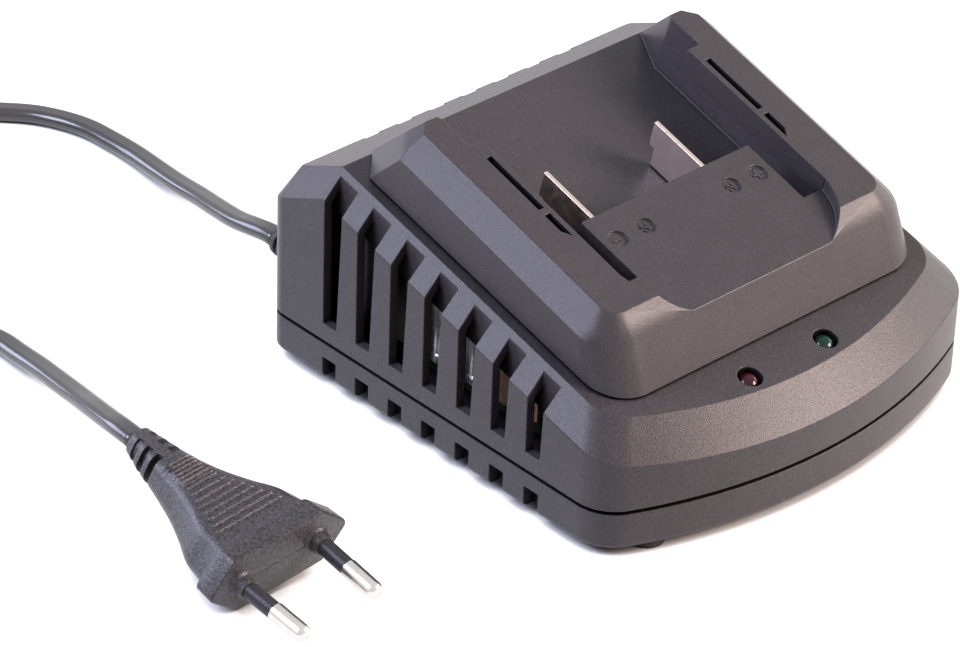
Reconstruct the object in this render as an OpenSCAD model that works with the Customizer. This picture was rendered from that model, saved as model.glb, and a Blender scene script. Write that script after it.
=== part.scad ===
// Power tool battery charger: a wedge-shaped mains charger with an open slide-in battery dock.
// Millimetres, +Z up, the front with the two lamps faces -Y, origin under the middle of the housing.

/* [Housing] */
// Width of the housing
housing_w = 104.2; // [98:0.2:116]
// Depth of the housing, from the front bow to the back wall
housing_d = 111.6; // [106:0.2:122]
// Wall thickness of both housing halves and the dock
wall = 2.2; // [1.8:0.1:2.6]
// Height of the seam between the two halves
seam_z = 11.2; // [10:0.1:13]
// Radius of the bowed front wall
front_r = 115; // [100:1:140]
// Corner radius at the front
front_corner_r = 9.6; // [7:0.1:12]
// Corner radius at the back
back_corner_r = 4.6; // [3.5:0.1:6]
// Rounding of the bottom edge
bottom_r = 1.4; // [1:0.1:1.8]
// Height of the deck plane over the middle of the housing
deck_z = 39.5; // [38:0.1:42]
// Slope of the deck, falling to the front
deck_angle = 15.1; // [14:0.1:16]
// Width of the bevel along the sides
side_bevel = 5.5; // [4.5:0.1:6.5]
// Width of the bevel along the front
front_bevel = 6.9; // [6:0.1:8]
// Width of the bevel above the back wall
back_bevel = 3.5; // [3:0.1:4.5]
// Distance from the back wall to the ridge
ridge_from_back = 16.5; // [15:0.1:18]
// Slope of the roof behind the ridge
back_angle = 24; // [20:1:28]

/* [Vents] */
// Number of vent slots on each side
side_slots = 7; // [5:1:8]
// Distance from one vent slot to the next
slot_pitch = 10.1; // [9:0.1:10.6]
// Width of a vent slot at its foot
slot_w = 4; // [3:0.1:4.6]
// Width of a vent slot at the bevel
slot_top_w = 5.2; // [4.6:0.1:6]
// Height of the foot of the vent slots
slot_z = 15.2; // [14.6:0.1:17]
// How far the vent slots cut in from the side
slot_depth = 4.3; // [3.8:0.1:5]
// Number of vent slots in the back wall
back_slots = 7; // [5:2:9]
// Distance from one back slot to the next
back_pitch = 9.1; // [8:0.1:9.4]
// Height of the notches in the base
notch_h = 5; // [4:0.1:6]

/* [Dock] */
// Height of the rim plane over the middle of the housing
rim_z = 54.2; // [53:0.1:57]
// Slope of the rim and of the battery slide
dock_angle = 16.7; // [16:0.1:18]
// Width over the flat top of the rails
rim_w = 76.8; // [75:0.2:79]
// Width of the bevel beside the rim
rim_bevel = 5.3; // [4.5:0.1:6]
// Height of the bevel beside the rim
rim_bevel_h = 4.8; // [4:0.1:5.5]
// Clear width between the rails
rail_gap = 57.6; // [56:0.2:59]
// Depth of the grooves under the rails
groove_depth = 3.4; // [2.5:0.1:4]
// Thickness of the rails
rail_t = 5.2; // [4.5:0.1:6]
// Depth of the slide channel below the rim
channel_depth = 14.2; // [13.8:0.1:15]
// Front edge of the rim along the slide, forward of the middle
rim_front = 31.8; // [30:0.1:33]
// Back edge of the rim along the slide
rim_back = 27.9; // [26:0.1:29]
// Where the rails start behind the middle
rail_start = 18.2; // [16:0.1:20]
// Depth of the sill at the front below the rim
sill_depth = 2.9; // [2.5:0.1:3.4]
// Corner radius at the front of the channel
channel_r = 15.5; // [13:0.1:18]
// Width of the raised contact block
block_w = 47; // [45:0.2:48]
// Back face of the contact block, forward of the middle
block_back = 7.3; // [6:0.1:9]
// Front end of the two gaps beside the contact block
block_front = 24.3; // [23:0.1:26]
// Width of the narrow slits in the rails
slit_w = 1.5; // [1.2:0.1:1.8]

/* [Contacts] */
// Thickness of a contact blade
blade_t = 1; // [0.8:0.1:1.4]
// Height of a contact blade
blade_h = 10.1; // [9:0.1:10.4]
// Length of a contact blade behind the block
blade_len = 15; // [12:0.5:17]
// Middle of the negative blade, left of the middle
blade_neg_x = 19.6; // [18.5:0.1:20]
// Middle of the positive blade, right of the middle
blade_pos_x = 11.4; // [9:0.1:13]

/* [Lamps] */
// Diameter of a lamp
led_d = 5; // [4:0.1:5.4]
// Distance between the two lamps
led_gap = 21.4; // [18:0.2:24]
// Offset of the pair from the middle
led_shift = -2; // [-3:0.1:3]
// Distance of the lamps from the front wall
led_inset = 11.4; // [10.8:0.1:12]

/* [Board] */
// Width of the circuit board
board_w = 77; // [74:0.5:78]
// Length of the circuit board
board_len = 87; // [84:0.5:88]
// Thickness of the circuit board
board_t = 1.6; // [1.2:0.1:2]
// Height of the standoffs under the board
standoff_h = 3.8; // [3:0.1:4.5]

/* [Fasteners and feet] */
// Thread diameter of the housing screws
screw_d = 3; // [2.6:0.1:3.4]
// Sideways place of the housing screws
screw_x = 43; // [42.5:0.1:43.5]
// Place of the housing screws along the depth
screw_y = 32; // [31:0.5:33]
// Diameter of a rubber foot
foot_d = 8; // [7:0.1:9]
// Height of the housing above the table
foot_h = 2; // [1.6:0.1:2.6]
// Sideways place of the feet
foot_x = 38.6; // [37:0.1:39]
// Place of the feet along the depth
foot_y = 43.4; // [42:0.1:43.8]

/* [Cord and plug] */
// Width of the flat mains cord
cord_w = 5.2; // [4.6:0.1:5.6]
// Thickness of the flat mains cord
cord_t = 3.4; // [3:0.1:3.6]
// Sideways place of the cord exit, left of the middle
gland_x = 33.5; // [30:0.5:36]
// Length of the cord's bend protection behind the wall
gland_len = 18; // [16:0.5:20]
// Diameter of the bend protection at the wall
gland_d = 9.6; // [9:0.1:10.4]
// Width of the plug at its face
plug_w = 34.4; // [33.6:0.1:35.4]
// Thickness of the plug at its face
plug_t = 13.2; // [12.8:0.1:13.8]
// Length of a plug pin
pin_len = 19; // [18:0.5:20]
// Diameter of a plug pin
pin_d = 4; // [3.8:0.1:4.1]
// Distance between the pins at the plug's face
pin_gap = 18.6; // [18:0.1:19.2]

/* [Hidden] */
fit = 0.15;
loose = 0.3;
eps = 0.01;
big = 300;
lip_h = 2;
lip_t = 1;
shadow_gap_h = 0.85;
shadow_gap_t = 1.3;
dock_gap_h = 0.5;
dock_gap_t = 1;
arc_steps = 36;
corner_steps = 12;
thread_slack = 0.05;
half_w = housing_w / 2;
front_y = -housing_d / 2;
back_y = housing_d / 2;
deck_slope = tan(deck_angle);
ridge_y = back_y - ridge_from_back;
ridge_z = deck_z + deck_slope * ridge_y;
back_slope = tan(back_angle);
floor_z = foot_h + wall;
board_z = floor_z + standoff_h;
board_top = board_z + board_t;
inner_bevel = wall * tan(22.5);
// Place of the board between the front wall and the back wall
board_mid_y = 3.5;
boss_r = screw_d / 2 + 2;
screw_head_r = screw_d / 2 + 1.2;
screw_head_h = 2.2;
rim_half = rim_w / 2;
gap_half = rail_gap / 2;
groove_half = gap_half + groove_depth;
tray_half = groove_half + wall;
dock_half = rim_half + rim_bevel;
block_half = block_w / 2;
dock_back_slant = 0.62;
dock_front_slant = 0.727;
dock_low = channel_depth + wall + 1;

// Places of the cord, chosen by hand
plug_at = [-106.1, -11.3, 7.9];
plug_turn = [6.3, -6.9, -2];
coil_at = [-95, 178];
coil_r = 30;
coil_half_w = 2 * cord_w;
coil_lift = 0.5;
coil_h = 2 * cord_t + 0.2;
coil_low_z = coil_lift + cord_t / 2;
coil_high_z = coil_low_z + cord_t + 0.2;
cord_z = 1.8;
lead_route = [
    [-33.5, 77, seam_z], [-33.5, 82, 10.4], [-33, 88, 9], [-31.5, 96, 7.4], [-29.5, 105, 5.6],
    [-28, 114, 4],
    [-26.5, 123, 2.8], [-25.3, 133, 2], [-25.4, 141, cord_z], [-26, 148, cord_z], [-28, 154.5, cord_z],
    [-31.5, 161, cord_z], [-37, 167, cord_z], [-45, 174.5, cord_z], [-53, 183, cord_z],
    [-59.5, 192, coil_low_z]
];
tail_route = [
    [-132.8, 178, coil_high_z], [-133, 166, 4.6], [-130, 154, 3], [-123.5, 142, cord_z],
    [-114, 129, cord_z], [-105, 116, cord_z], [-97.5, 103, cord_z], [-94.5, 92, 2.1], [-95, 84, 2.8],
    [-96, 76, 4], [-97.7, 67.5, 5.6], [-99.8, 58, 7.6], [-101.7, 51, 9.4], [-103.4, 44, 11],
    [-104.3, 39.5, 11.9]
];

// ---- outlines and frames ----

// Points of an arc around c, from angle a to angle b
function arc_points(c, r, a, b, n) =
    [for (i = [0:n]) let (t = a + (b - a) * i / n) [c[0] + r * cos(t), c[1] + r * sin(t)]];

// Plan outline with a bowed front: half width, front, bow radius, front and back corners, back
function bowed(hw, yf, rf, rc, rb, yb) =
    let (d = sqrt(pow(rf - rc, 2) - pow(hw - rc, 2)))
    let (yc = yf + rf - d)
    let (a = atan2(hw - rc, d))
    let (step = 2 * a / arc_steps)
    concat(
        arc_points([hw - rb, yb - rb], rb, 0, 90, corner_steps),
        arc_points([-hw + rb, yb - rb], rb, 90, 180, corner_steps),
        arc_points([-hw + rc, yc], rc, 180, 270 - a, corner_steps),
        arc_points([0, yf + rf], rf, 270 - a + step, 270 + a - step, arc_steps - 2),
        arc_points([hw - rc, yc], rc, 270 + a, 360, corner_steps)
    );

module housing_plan(inset) {
    polygon(plan_points(inset));
}

module deck_plan(inset) {
    polygon(bowed(half_w - side_bevel - inset, front_y + front_bevel + inset, front_r - front_bevel,
        front_corner_r - 1, 1, back_y - back_bevel - inset));
}

// Everything below the deck plane and below the roof behind the ridge, lowered by drop
module under_roof(drop) {
    intersection() {
        translate([0, 0, deck_z - drop]) rotate([deck_angle, 0, 0])
            translate([-big / 2, -big / 2, -big]) cube([big, big, big]);
        translate([0, ridge_y, ridge_z - drop]) rotate([-back_angle, 0, 0])
            translate([-big / 2, -big / 2, -big]) cube([big, big, big]);
    }
}

module deck_frame() {
    translate([0, 0, deck_z]) rotate([deck_angle, 0, 0]) children();
}

module dock_frame() {
    translate([0, 0, rim_z]) rotate([dock_angle, 0, 0]) children();
}

module four_ways(x, y) {
    for (sx = [-1, 1]) {
        for (sy = [-1, 1]) {
            translate([sx * x, sy * y, 0]) children();
        }
    }
}

// A tube through points: half width across, half height, number of sides, a direction that is up
function unit(v) = v / norm(v);
function heading(p, i) = unit(p[min(i + 1, len(p) - 1)] - p[max(i - 1, 0)]);
function ring(c, t, up, a, b, n) =
    let (side = unit(cross(t, up)))
    let (rise = cross(side, t))
    [for (k = [0:n - 1]) c + side * a * cos(360 * k / n) + rise * b * sin(360 * k / n)];

// A closed solid through a row of rings with the same number of points
module skin(rings) {
    n = len(rings[0]);
    last = len(rings) - 1;
    sides = [for (i = [0:last - 1]) for (k = [0:n - 1]) let (m = (k + 1) % n)
        [i * n + k, i * n + m, (i + 1) * n + m, (i + 1) * n + k]];
    start_cap = [[for (k = [0:n - 1]) n - 1 - k]];
    end_cap = [[for (k = [0:n - 1]) last * n + k]];
    polyhedron([for (r = rings) each r], concat(sides, start_cap, end_cap));
}

module swept(p, a, b, n, up = [0, 0, 1]) {
    skin([for (i = [0:len(p) - 1]) ring(p[i], heading(p, i), up, a, b, n)]);
}

// ---- housing ----

function plan_points(inset) = bowed(half_w - inset, front_y + inset, front_r - inset,
    max(front_corner_r - inset, 1), max(back_corner_r - inset, 1), back_y - inset);

// The lower half as a solid with a rounded bottom edge, its rings listed from the top down
module base_block(top) {
    levels = concat([[top, 0]], [for (a = [0:22.5:90])
        [foot_h + bottom_r * (1 - sin(a)), bottom_r * (1 - cos(a))]]);
    skin([for (level = levels) [for (p = plan_points(level[1])) [p[0], p[1], level[0]]]]);
}

module gland_hole(z0, z1) {
    intersection() {
        translate([-gland_x, back_y + 1, seam_z]) rotate([90, 0, 0])
            cylinder(d = gland_neck_d + 2 * fit, h = wall + 3, $fn = 48);
        translate([-big / 2, 0, z0]) cube([big, big, z1 - z0]);
    }
}

// Room in the lip for the flange behind the wall
module gland_room() {
    translate([-gland_x, back_y - wall, seam_z]) rotate([90, 0, 0])
        cylinder(d = gland_flange_d + 2 * fit, h = gland_flange + fit, $fn = 48);
}

module side_notches() {
    for (side = [-1, 1]) {
        for (i = [0:side_slots - 1]) {
            translate([side * half_w, slot_y(i), foot_h + notch_h / 2 - 1])
                cube([2 * (wall + 1), slot_w, notch_h + 2], center = true);
        }
    }
}

module base_housing() {
    color("#55555c") difference() {
        union() {
            difference() {
                union() {
                    base_block(seam_z - shadow_gap_h);
                    translate([0, 0, seam_z - shadow_gap_h - eps]) linear_extrude(shadow_gap_h + eps)
                        housing_plan(shadow_gap_t);
                }
                translate([0, 0, floor_z]) linear_extrude(seam_z) housing_plan(wall);
            }
            linear_lip();
            four_ways(screw_x, screw_y) translate([0, 0, foot_h + eps])
                cylinder(r = boss_r + 0.6, h = seam_z - foot_h - eps, $fn = 48);
            board_standoffs();
        }
        four_ways(screw_x, screw_y) {
            translate([0, 0, foot_h - 1])
                cylinder(r = screw_head_r + 0.4, h = screw_seat_z - foot_h + 1, $fn = 48);
            cylinder(d = screw_d + 0.4, h = seam_z + 1, $fn = 48);
        }
        four_ways(foot_x, foot_y) cylinder(d = foot_d, h = foot_h + foot_sink, $fn = 64);
        board_screw_places() translate([0, 0, floor_z])
            cylinder(d = board_screw_d, h = standoff_h + 1, $fn = 32);
        gland_hole(0, seam_z + lip_h + 1);
        gland_room();
        side_notches();
    }
}

foot_sink = 0.8;
screw_seat_z = 7;
board_screw_d = 2.5;
board_screw_head_h = 1.6;

module linear_lip() {
    translate([0, 0, seam_z - 2]) linear_extrude(2 + lip_h) difference() {
        housing_plan(wall + fit);
        housing_plan(wall + fit + lip_t);
    }
    translate([0, 0, seam_z - 2]) linear_extrude(1) difference() {
        housing_plan(wall - eps);
        housing_plan(wall + fit + lip_t);
    }
}

module board_screw_places() {
    for (sx = [-1, 1]) {
        for (sy = [-1, 1]) {
            translate([sx * (board_w / 2 - 4), board_mid_y + sy * (board_len / 2 - 4), 0]) children();
        }
    }
}

module board_standoffs() {
    board_screw_places() translate([0, 0, floor_z - eps])
        cylinder(d = 6, h = standoff_h + eps, $fn = 32);
}

// Middle of side slot i, counted from the back
function slot_y(i) = slot_first_y - slot_pitch * i;
slot_first_y = 36.4;
// Height over which a slot leans forward
slot_lean_h = 26;

module side_slot(i) {
    y = slot_y(i);
    lean = slot_top_w - slot_w;
    translate([-half_w - 1, 0, 0]) rotate([90, 0, 90]) linear_extrude(slot_depth + 1)
        polygon([[y - slot_w / 2, slot_z], [y + slot_w / 2, slot_z], [y + slot_w / 2, big],
            [y - slot_w / 2 - lean, big / 2], [y - slot_w / 2 - lean, slot_z + slot_lean_h]]);
}

// The upper half as a solid, inset from the outer skin
module top_block(inset, low) {
    hull() {
        intersection() {
            translate([0, 0, low]) linear_extrude(big / 2) housing_plan(inset);
            under_roof(side_bevel + inset * tan(22.5));
        }
        intersection() {
            translate([0, 0, low]) linear_extrude(big / 2) deck_plan(inset * tan(22.5));
            under_roof(inset);
        }
    }
}

module side_vents() {
    for (side = [0, 1]) {
        mirror([side, 0, 0]) {
            for (i = [0:side_slots - 1]) {
                side_slot(i);
            }
        }
    }
}

module back_vents() {
    for (i = [0:back_slots - 1]) {
        x = (i - (back_slots - 1) / 2) * back_pitch;
        translate([x - slot_w / 2, back_y - back_bevel - 0.8, slot_z + 6])
            cube([slot_w, back_bevel + 2, big]);
    }
}

dock_well_front = block_front + wall + loose;

// The hole in the deck that the dock's tray drops through
module dock_well(grow) {
    intersection() {
        dock_frame() translate([-tray_half - grow, -block_front - wall - grow, -big / 2])
            cube([2 * (tray_half + grow), big, big]);
        translate([-big / 2, -big, 0]) cube([big, big + ridge_y - 1 - loose + grow, big]);
    }
}

module top_housing() {
    color("#67656b") difference() {
        union() {
            difference() {
                top_block(0, seam_z);
                difference() {
                    top_block(wall, seam_z - 1);
                    slot_shelves();
                }
            }
            intersection() {
                top_block(0, seam_z);
                union() {
                    four_ways(screw_x, screw_y) translate([0, 0, seam_z])
                        cylinder(r = boss_r, h = big / 3, $fn = 48);
                    lamp_sockets(led_d / 2 + 1.4, 6);
                }
            }
        }
        difference() {
            dock_well(loose);
            translate([-big / 2, -big / 2, 0]) cube([big, big, seam_z + 4]);
        }
        four_ways(screw_x, screw_y) translate([0, 0, seam_z - 1])
            cylinder(r = screw_d / 2 + thread_slack, h = screw_bite + 3, $fn = 48);
        side_vents();
        back_vents();
        dock_screw_places() translate([0, 0, -wall - 6])
            cylinder(r = dock_screw_d / 2 + 0.2, h = wall + 7, $fn = 32);
        lamp_sockets(led_d / 2 + fit, 20);
        gland_hole(seam_z - 1, big);
        lip_relief();
    }
}

// Keeps the bosses and ribs of the upper half clear of the lip of the base
module lip_relief() {
    translate([0, 0, seam_z - 1]) linear_extrude(lip_h + 1 + fit) difference() {
        housing_plan(wall);
        housing_plan(wall + lip_t + 2 * fit);
    }
}

shelf_t = 1.8;
// Distance of the inner ribs from the front and the back of the housing
shelf_end = 12;

// Inner ribs behind the upper end of the side slots
module slot_shelves() {
    for (side = [-1, 1]) {
        intersection() {
            translate([side * (half_w - slot_depth - shelf_t / 2), 0, 0])
                cube([shelf_t, housing_d - 2 * shelf_end, big], center = true);
            difference() {
                under_roof(0);
                under_roof(slot_depth + 6);
            }
        }
    }
}

module lamp_sockets(r, depth) {
    for (side = [-1, 1]) {
        translate([led_shift + side * led_gap / 2, front_y + led_inset, 0]) lamp_axis()
            translate([0, 0, -depth]) cylinder(r = r, h = depth + 3, $fn = 48);
    }
}

// Stands children on the deck, square to it, at the lamps' distance from the front
module lamp_axis() {
    translate([0, 0, deck_z + deck_slope * (front_y + led_inset)]) rotate([deck_angle, 0, 0])
        children();
}

// ---- dock ----

// Outline of the dock across the slide: half width, front, back, corner radius, back corner cut
function dock_outline(hw, sf, sb, rc, cut) =
    concat(
        [[hw, sb - cut], [hw - cut, sb], [-hw + cut, sb], [-hw, sb - cut]],
        arc_points([-hw + rc, sf + rc], rc, 180, 270, corner_steps),
        arc_points([hw - rc, sf + rc], rc, 270, 360, corner_steps)
    );

module dock_slice(n, hw, sf, sb, rc, cut) {
    translate([0, 0, n]) linear_extrude(eps) polygon(dock_outline(hw, sf, sb, rc, cut));
}

// The dock as a solid, inset by t from its skin
module dock_block(t) {
    bevel_mid = sill_depth / rim_bevel_h;
    front_low = rim_front + 4.9;
    hull() {
        dock_slice(-t, rim_half - t * 0.45, -rim_front + t * 0.6, rim_back - t * 0.6, 3.6, 2.6);
        dock_slice(-sill_depth - t * 0.6, rim_half + rim_bevel * bevel_mid - t * 0.8, -front_low + t,
            rim_back + dock_back_slant * sill_depth - t, 7, 4);
        dock_slice(-rim_bevel_h - t * 0.4, dock_half - t, -front_low - 1.3 + t,
            rim_back + dock_back_slant * rim_bevel_h - t, 9, 5.7);
        dock_slice(-dock_low, dock_half + 0.9 - t,
            -front_low - dock_front_slant * (dock_low - sill_depth) + t,
            rim_back + dock_back_slant * dock_low - t, 9, 6.3);
    }
}

// The slide channel between the rails, with its front opening, grown by g
module channel_plan(g) {
    for (side = [-1, 1]) {
        translate([side * (gap_half - channel_r), -rail_front_s]) circle(r = channel_r + g, $fn = 96);
    }
    translate([-gap_half + channel_r, -rail_front_s - channel_r - g])
        square([2 * (gap_half - channel_r), channel_r + g + 1]);
    translate([-gap_half - g, -rail_front_s]) square([2 * (gap_half + g), big / 2]);
}

rail_front_s = 22.4;

module channel_void() {
    translate([0, 0, -sill_depth]) linear_extrude(big / 4) channel_plan(0);
    difference() {
        union() {
            translate([-gap_half, -block_front, -channel_depth]) cube([rail_gap, big, big / 4]);
            translate([-groove_half, -block_front, -channel_depth])
                cube([2 * groove_half, big, channel_depth - rail_t]);
            translate([-groove_half, rail_start, -channel_depth]) cube([2 * groove_half, big, big / 4]);
            translate([0, 0, -channel_depth]) linear_extrude(big / 4) flare_plan(0);
        }
        translate([-block_half, -block_front - 1, -channel_depth - 1])
            cube([block_w, block_front + 1 - block_back, channel_depth + 1 - sill_depth]);
    }
}

module channel_shell() {
    translate([0, 0, -sill_depth - wall]) linear_extrude(sill_depth + wall) channel_plan(wall);
    translate([-tray_half, -block_front - wall, -channel_depth - wall])
        cube([2 * tray_half, big, channel_depth + wall]);
    translate([0, 0, -channel_depth - wall]) linear_extrude(channel_depth + wall) flare_plan(wall);
}

// Where the channel widens behind the rails, so that a battery finds its way in, grown by g
module flare_plan(g) {
    for (side = [0, 1]) {
        mirror([side, 0, 0]) polygon([[0, flare_from - g], [groove_half + g, flare_from - g],
            [groove_half + flare_out + g, flare_from + flare_len],
            [groove_half + flare_out + g, big / 2], [0, big / 2]]);
    }
}

flare_from = rim_back - 1.1;
flare_len = 9;
flare_out = 4.2;

// The hollow under the contact block, open downwards
module block_hollow() {
    translate([-block_half + wall, -block_front - wall - 1, -channel_depth - wall - 1])
        cube([block_w - 2 * wall, block_front + wall + 1 - block_back - wall,
            channel_depth + 1 - sill_depth]);
}

module rail_slits() {
    for (side = [-1, 1]) {
        translate([side * (gap_half + 1.95), 0, 0]) {
            translate([-slit_w / 2, -2.3, -rail_t - 1]) cube([slit_w, 16.3, rail_t + 2]);
            translate([0, 0, -rail_t - 1]) linear_extrude(rail_t + 2)
                polygon([[-slit_w / 2, -4], [slit_w / 2, -4], [slit_w / 2, side > 0 ? -9 : -11.1],
                    [-slit_w / 2, side > 0 ? -11.1 : -9]]);
        }
    }
}

module block_marks() {
    for (side = [-1, 1]) {
        for (x = [mark_inner_x, mark_outer_x]) {
            translate([side * x, mark_s, -sill_depth - mark_depth])
                cylinder(r = mark_r, h = mark_depth + 1, $fn = 40);
        }
    }
}

mark_inner_x = 12.1;
mark_outer_x = 19.7;
mark_s = -14.4;
mark_r = 2.1;
mark_depth = 0.6;

dock_screw_d = 2.9;
dock_screw_x = (tray_half + dock_half) / 2;

module dock_screw_places() {
    for (sx = [-1, 1]) {
        for (s = [-22, 14]) {
            deck_frame() translate([sx * dock_screw_x, s, 0]) children();
        }
    }
}

module above_deck() {
    deck_frame() translate([-big / 2, -big / 2, 0]) cube([big, big, big]);
}

// Shadow gap between the foot of the dock's skirt and the deck
module dock_gap() {
    difference() {
        deck_frame() translate([-big / 2, -big / 2, -eps]) cube([big, big, dock_gap_h + eps]);
        dock_frame() dock_block(dock_gap_t);
    }
}

module battery_dock() {
    color("#646268") difference() {
        union() {
            intersection() {
                above_deck();
                union() {
                    difference() {
                        dock_frame() dock_block(0);
                        dock_frame() dock_block(wall);
                    }
                    intersection() {
                        dock_frame() dock_block(0);
                        dock_screw_places() translate([0, 0, -1]) cylinder(r = 3, h = 16, $fn = 32);
                    }
                }
            }
            intersection() {
                dock_frame() dock_block(0);
                dock_frame() channel_shell();
                union() {
                    dock_well(0);
                    above_deck();
                }
            }
        }
        dock_gap();
        dock_frame() channel_void();
        dock_frame() block_hollow();
        dock_frame() rail_slits();
        dock_frame() block_marks();
        blade_slots();
        dock_screw_places() translate([0, 0, -1])
            cylinder(r = dock_screw_d / 2 + thread_slack, h = dock_screw_bite + 2.5, $fn = 32);
    }
}

// ---- contacts ----

blade_low = channel_depth - 0.3;
blade_tail = 6;
blade_tail_w = 5;
// Length of a blade inside the contact block
blade_root = 7;

module blade_shape(x, slack) {
    dock_frame() {
        translate([x - blade_t / 2 - slack, -block_back - wall - blade_root, -blade_low - slack])
            cube([blade_t + 2 * slack, wall + blade_root + blade_len, blade_h + 2 * slack]);
        translate([x - blade_t / 2 - slack, -block_back - wall - blade_root, -blade_low - blade_tail])
            cube([blade_t + 2 * slack, blade_tail_w, blade_tail + 1]);
    }
}

module blade_slots() {
    blade_shape(-blade_neg_x, fit);
    blade_shape(blade_pos_x, fit);
}

blade_end = blade_len - block_back;
blade_top = blade_h - blade_low;
blade_step = 1.5;
blade_step_h = 4.2;
blade_end_slant = 0.075;

// What the free end of a blade lacks: it slants inwards and steps back in its lower half
module blade_end_cut(x) {
    step_n = blade_step_h - blade_low;
    step_s = blade_end - blade_end_slant * (blade_h - blade_step_h);
    foot_s = step_s - blade_step - blade_end_slant * blade_step_h;
    dock_frame() translate([x - blade_t, 0, 0]) rotate([90, 0, 90]) linear_extrude(2 * blade_t)
        polygon([[blade_end, blade_top], [step_s, step_n], [step_s - blade_step, step_n],
            [foot_s, -blade_low], [foot_s, -blade_low - 1], [blade_end + 1, -blade_low - 1],
            [blade_end + 1, blade_top + 1], [blade_end, blade_top + 1]]);
}

module blade(x) {
    color("#d8d6d2") difference() {
        blade_shape(x, 0);
        blade_end_cut(x);
    }
}

module blade_negative() {
    blade(-blade_neg_x);
}

module blade_positive() {
    blade(blade_pos_x);
}

module contact_carrier() {
    color("#2b2b2e") difference() {
        dock_frame()
            translate([-block_half + wall + fit, -block_back - wall - carrier_l, -channel_depth])
            cube([block_w - 2 * wall - 2 * fit, carrier_l - fit, channel_depth - sill_depth - wall]);
        blade_slots();
    }
}

carrier_l = 12;

// ---- lamps ----

lamp_rise = 0.6;

module lamp(side) {
    translate([led_shift + side * led_gap / 2, front_y + led_inset, 0]) {
        lamp_axis() {
            translate([0, 0, -8 - lamp_rise]) cylinder(d = led_d, h = 6.1, $fn = 48);
            translate([0, 0, -2.5 - lamp_rise]) intersection() {
                sphere(d = led_d, $fn = 48);
                translate([0, 0, 5]) cube(10, center = true);
            }
        }
        for (x = [-1.27, 1.27]) {
            translate([x, lead_shift, board_top - 0.2])
                cylinder(d = 0.6, h = lamp_foot_z - board_top, $fn = 16);
        }
    }
}

lead_shift = 2.2;
lamp_foot_z = deck_z + deck_slope * (front_y + led_inset) - 7.6;

module red_lamp() {
    color("#c02018") lamp(-1);
}

module green_lamp() {
    color("#1f9a3c") lamp(1);
}

module lamp_spacers() {
    color("#e8e6df") for (side = [-1, 1]) {
        lamp_x = led_shift + side * led_gap / 2;
        translate([lamp_x, front_y + led_inset + lead_shift, board_top]) difference() {
            cylinder(r = 2.6, h = lamp_foot_z - board_top - 3, $fn = 32);
            for (x = [-1.27, 1.27]) {
                translate([x, 0, -1]) cylinder(d = 0.8, h = big, $fn = 16);
            }
        }
    }
}

// ---- circuit ----

module circuit_board() {
    color("#2f6b3c") difference() {
        translate([-board_w / 2, board_mid_y - board_len / 2, board_z])
            cube([board_w, board_len, board_t]);
        board_screw_places() translate([0, 0, board_z - 1])
            cylinder(d = board_screw_d + 0.4, h = board_t + 2, $fn = 32);
        for (side = [-1, 1]) {
            for (x = [-1.27, 1.27]) {
                lamp_x = led_shift + side * led_gap / 2;
                translate([lamp_x + x, front_y + led_inset + lead_shift, board_z - 1])
                    cylinder(d = 0.8, h = board_t + 2, $fn = 16);
            }
        }
    }
}

// Puts children on the board
module on_board(at) {
    translate([at[0], at[1], board_top]) children();
}

// A block standing on the board around its place
module board_block(at, size) {
    on_board(at) translate([-size[0] / 2, -size[1] / 2, 0]) cube(size);
}

transformer_at = [-20, 2];
core_w = 14;
core_l = 26;
core_h = 15;
core_leg = 8;
core_side = 3.5;
core_yoke = 3.5;
winding_t = 4.5;
winding_r = 3;
window_l = (core_l - core_leg) / 2 - core_side;

module transformer_core() {
    color("#3a3a3d") on_board(transformer_at) difference() {
        translate([-core_w / 2, -core_l / 2, 0]) cube([core_w, core_l, core_h]);
        for (side = [-1, 1]) {
            translate([0, side * (core_leg + window_l) / 2, core_h / 2])
                cube([core_w + 2, window_l, core_h - 2 * core_yoke], center = true);
        }
    }
}

module winding_plan(w, l, r) {
    polygon(concat(
        arc_points([w / 2 - r, l / 2 - r], r, 0, 90, 4),
        arc_points([-w / 2 + r, l / 2 - r], r, 90, 180, 4),
        arc_points([-w / 2 + r, -l / 2 + r], r, 180, 270, 4),
        arc_points([w / 2 - r, -l / 2 + r], r, 270, 360, 4)
    ));
}

module transformer_winding() {
    color("#d8b93a") on_board(transformer_at) translate([0, 0, core_yoke + fit])
        linear_extrude(core_h - 2 * core_yoke - 2 * fit) difference() {
            winding_plan(core_w + 2 * winding_t, core_leg + 2 * window_l - 2 * fit, winding_r);
            winding_plan(core_w + 2 * fit, core_leg + 2 * fit, 0.2);
        }
}

can_groove = 0.5;
can_rim = 1.2;
can_dish = 0.3;

// An electrolytic capacitor: a can with a crimp groove near the board and a dished top
module can(r, h) {
    groove_z = 0.08 * h;
    difference() {
        cylinder(r = r, h = h, $fn = 48);
        translate([0, 0, groove_z]) difference() {
            cylinder(r = r + 1, h = 0.8, $fn = 48);
            translate([0, 0, -1]) cylinder(r = r - can_groove, h = 3, $fn = 48);
        }
        translate([0, 0, h - can_dish]) cylinder(r = r - can_rim, h = 1, $fn = 48);
    }
}

mains_can_at = [16, 30];
mains_can_r = 8;
mains_can_h = 25;
output_can_at = [-35, 9];
output_can_r = 3.2;
output_can_h = 15;
output_can_gap = 11;

module mains_capacitor() {
    color("#26262a") on_board(mains_can_at) can(mains_can_r, mains_can_h);
}

module output_capacitor() {
    color("#d9d9dc") for (i = [0, 1]) {
        on_board(output_can_at + [0, i * output_can_gap]) can(output_can_r, output_can_h);
    }
}

small_film_at = [-35.2, 0.4];
small_film = [6, 6.8, 9];
mains_film_at = [-4, 36];
mains_film = [18, 8, 13];

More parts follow.
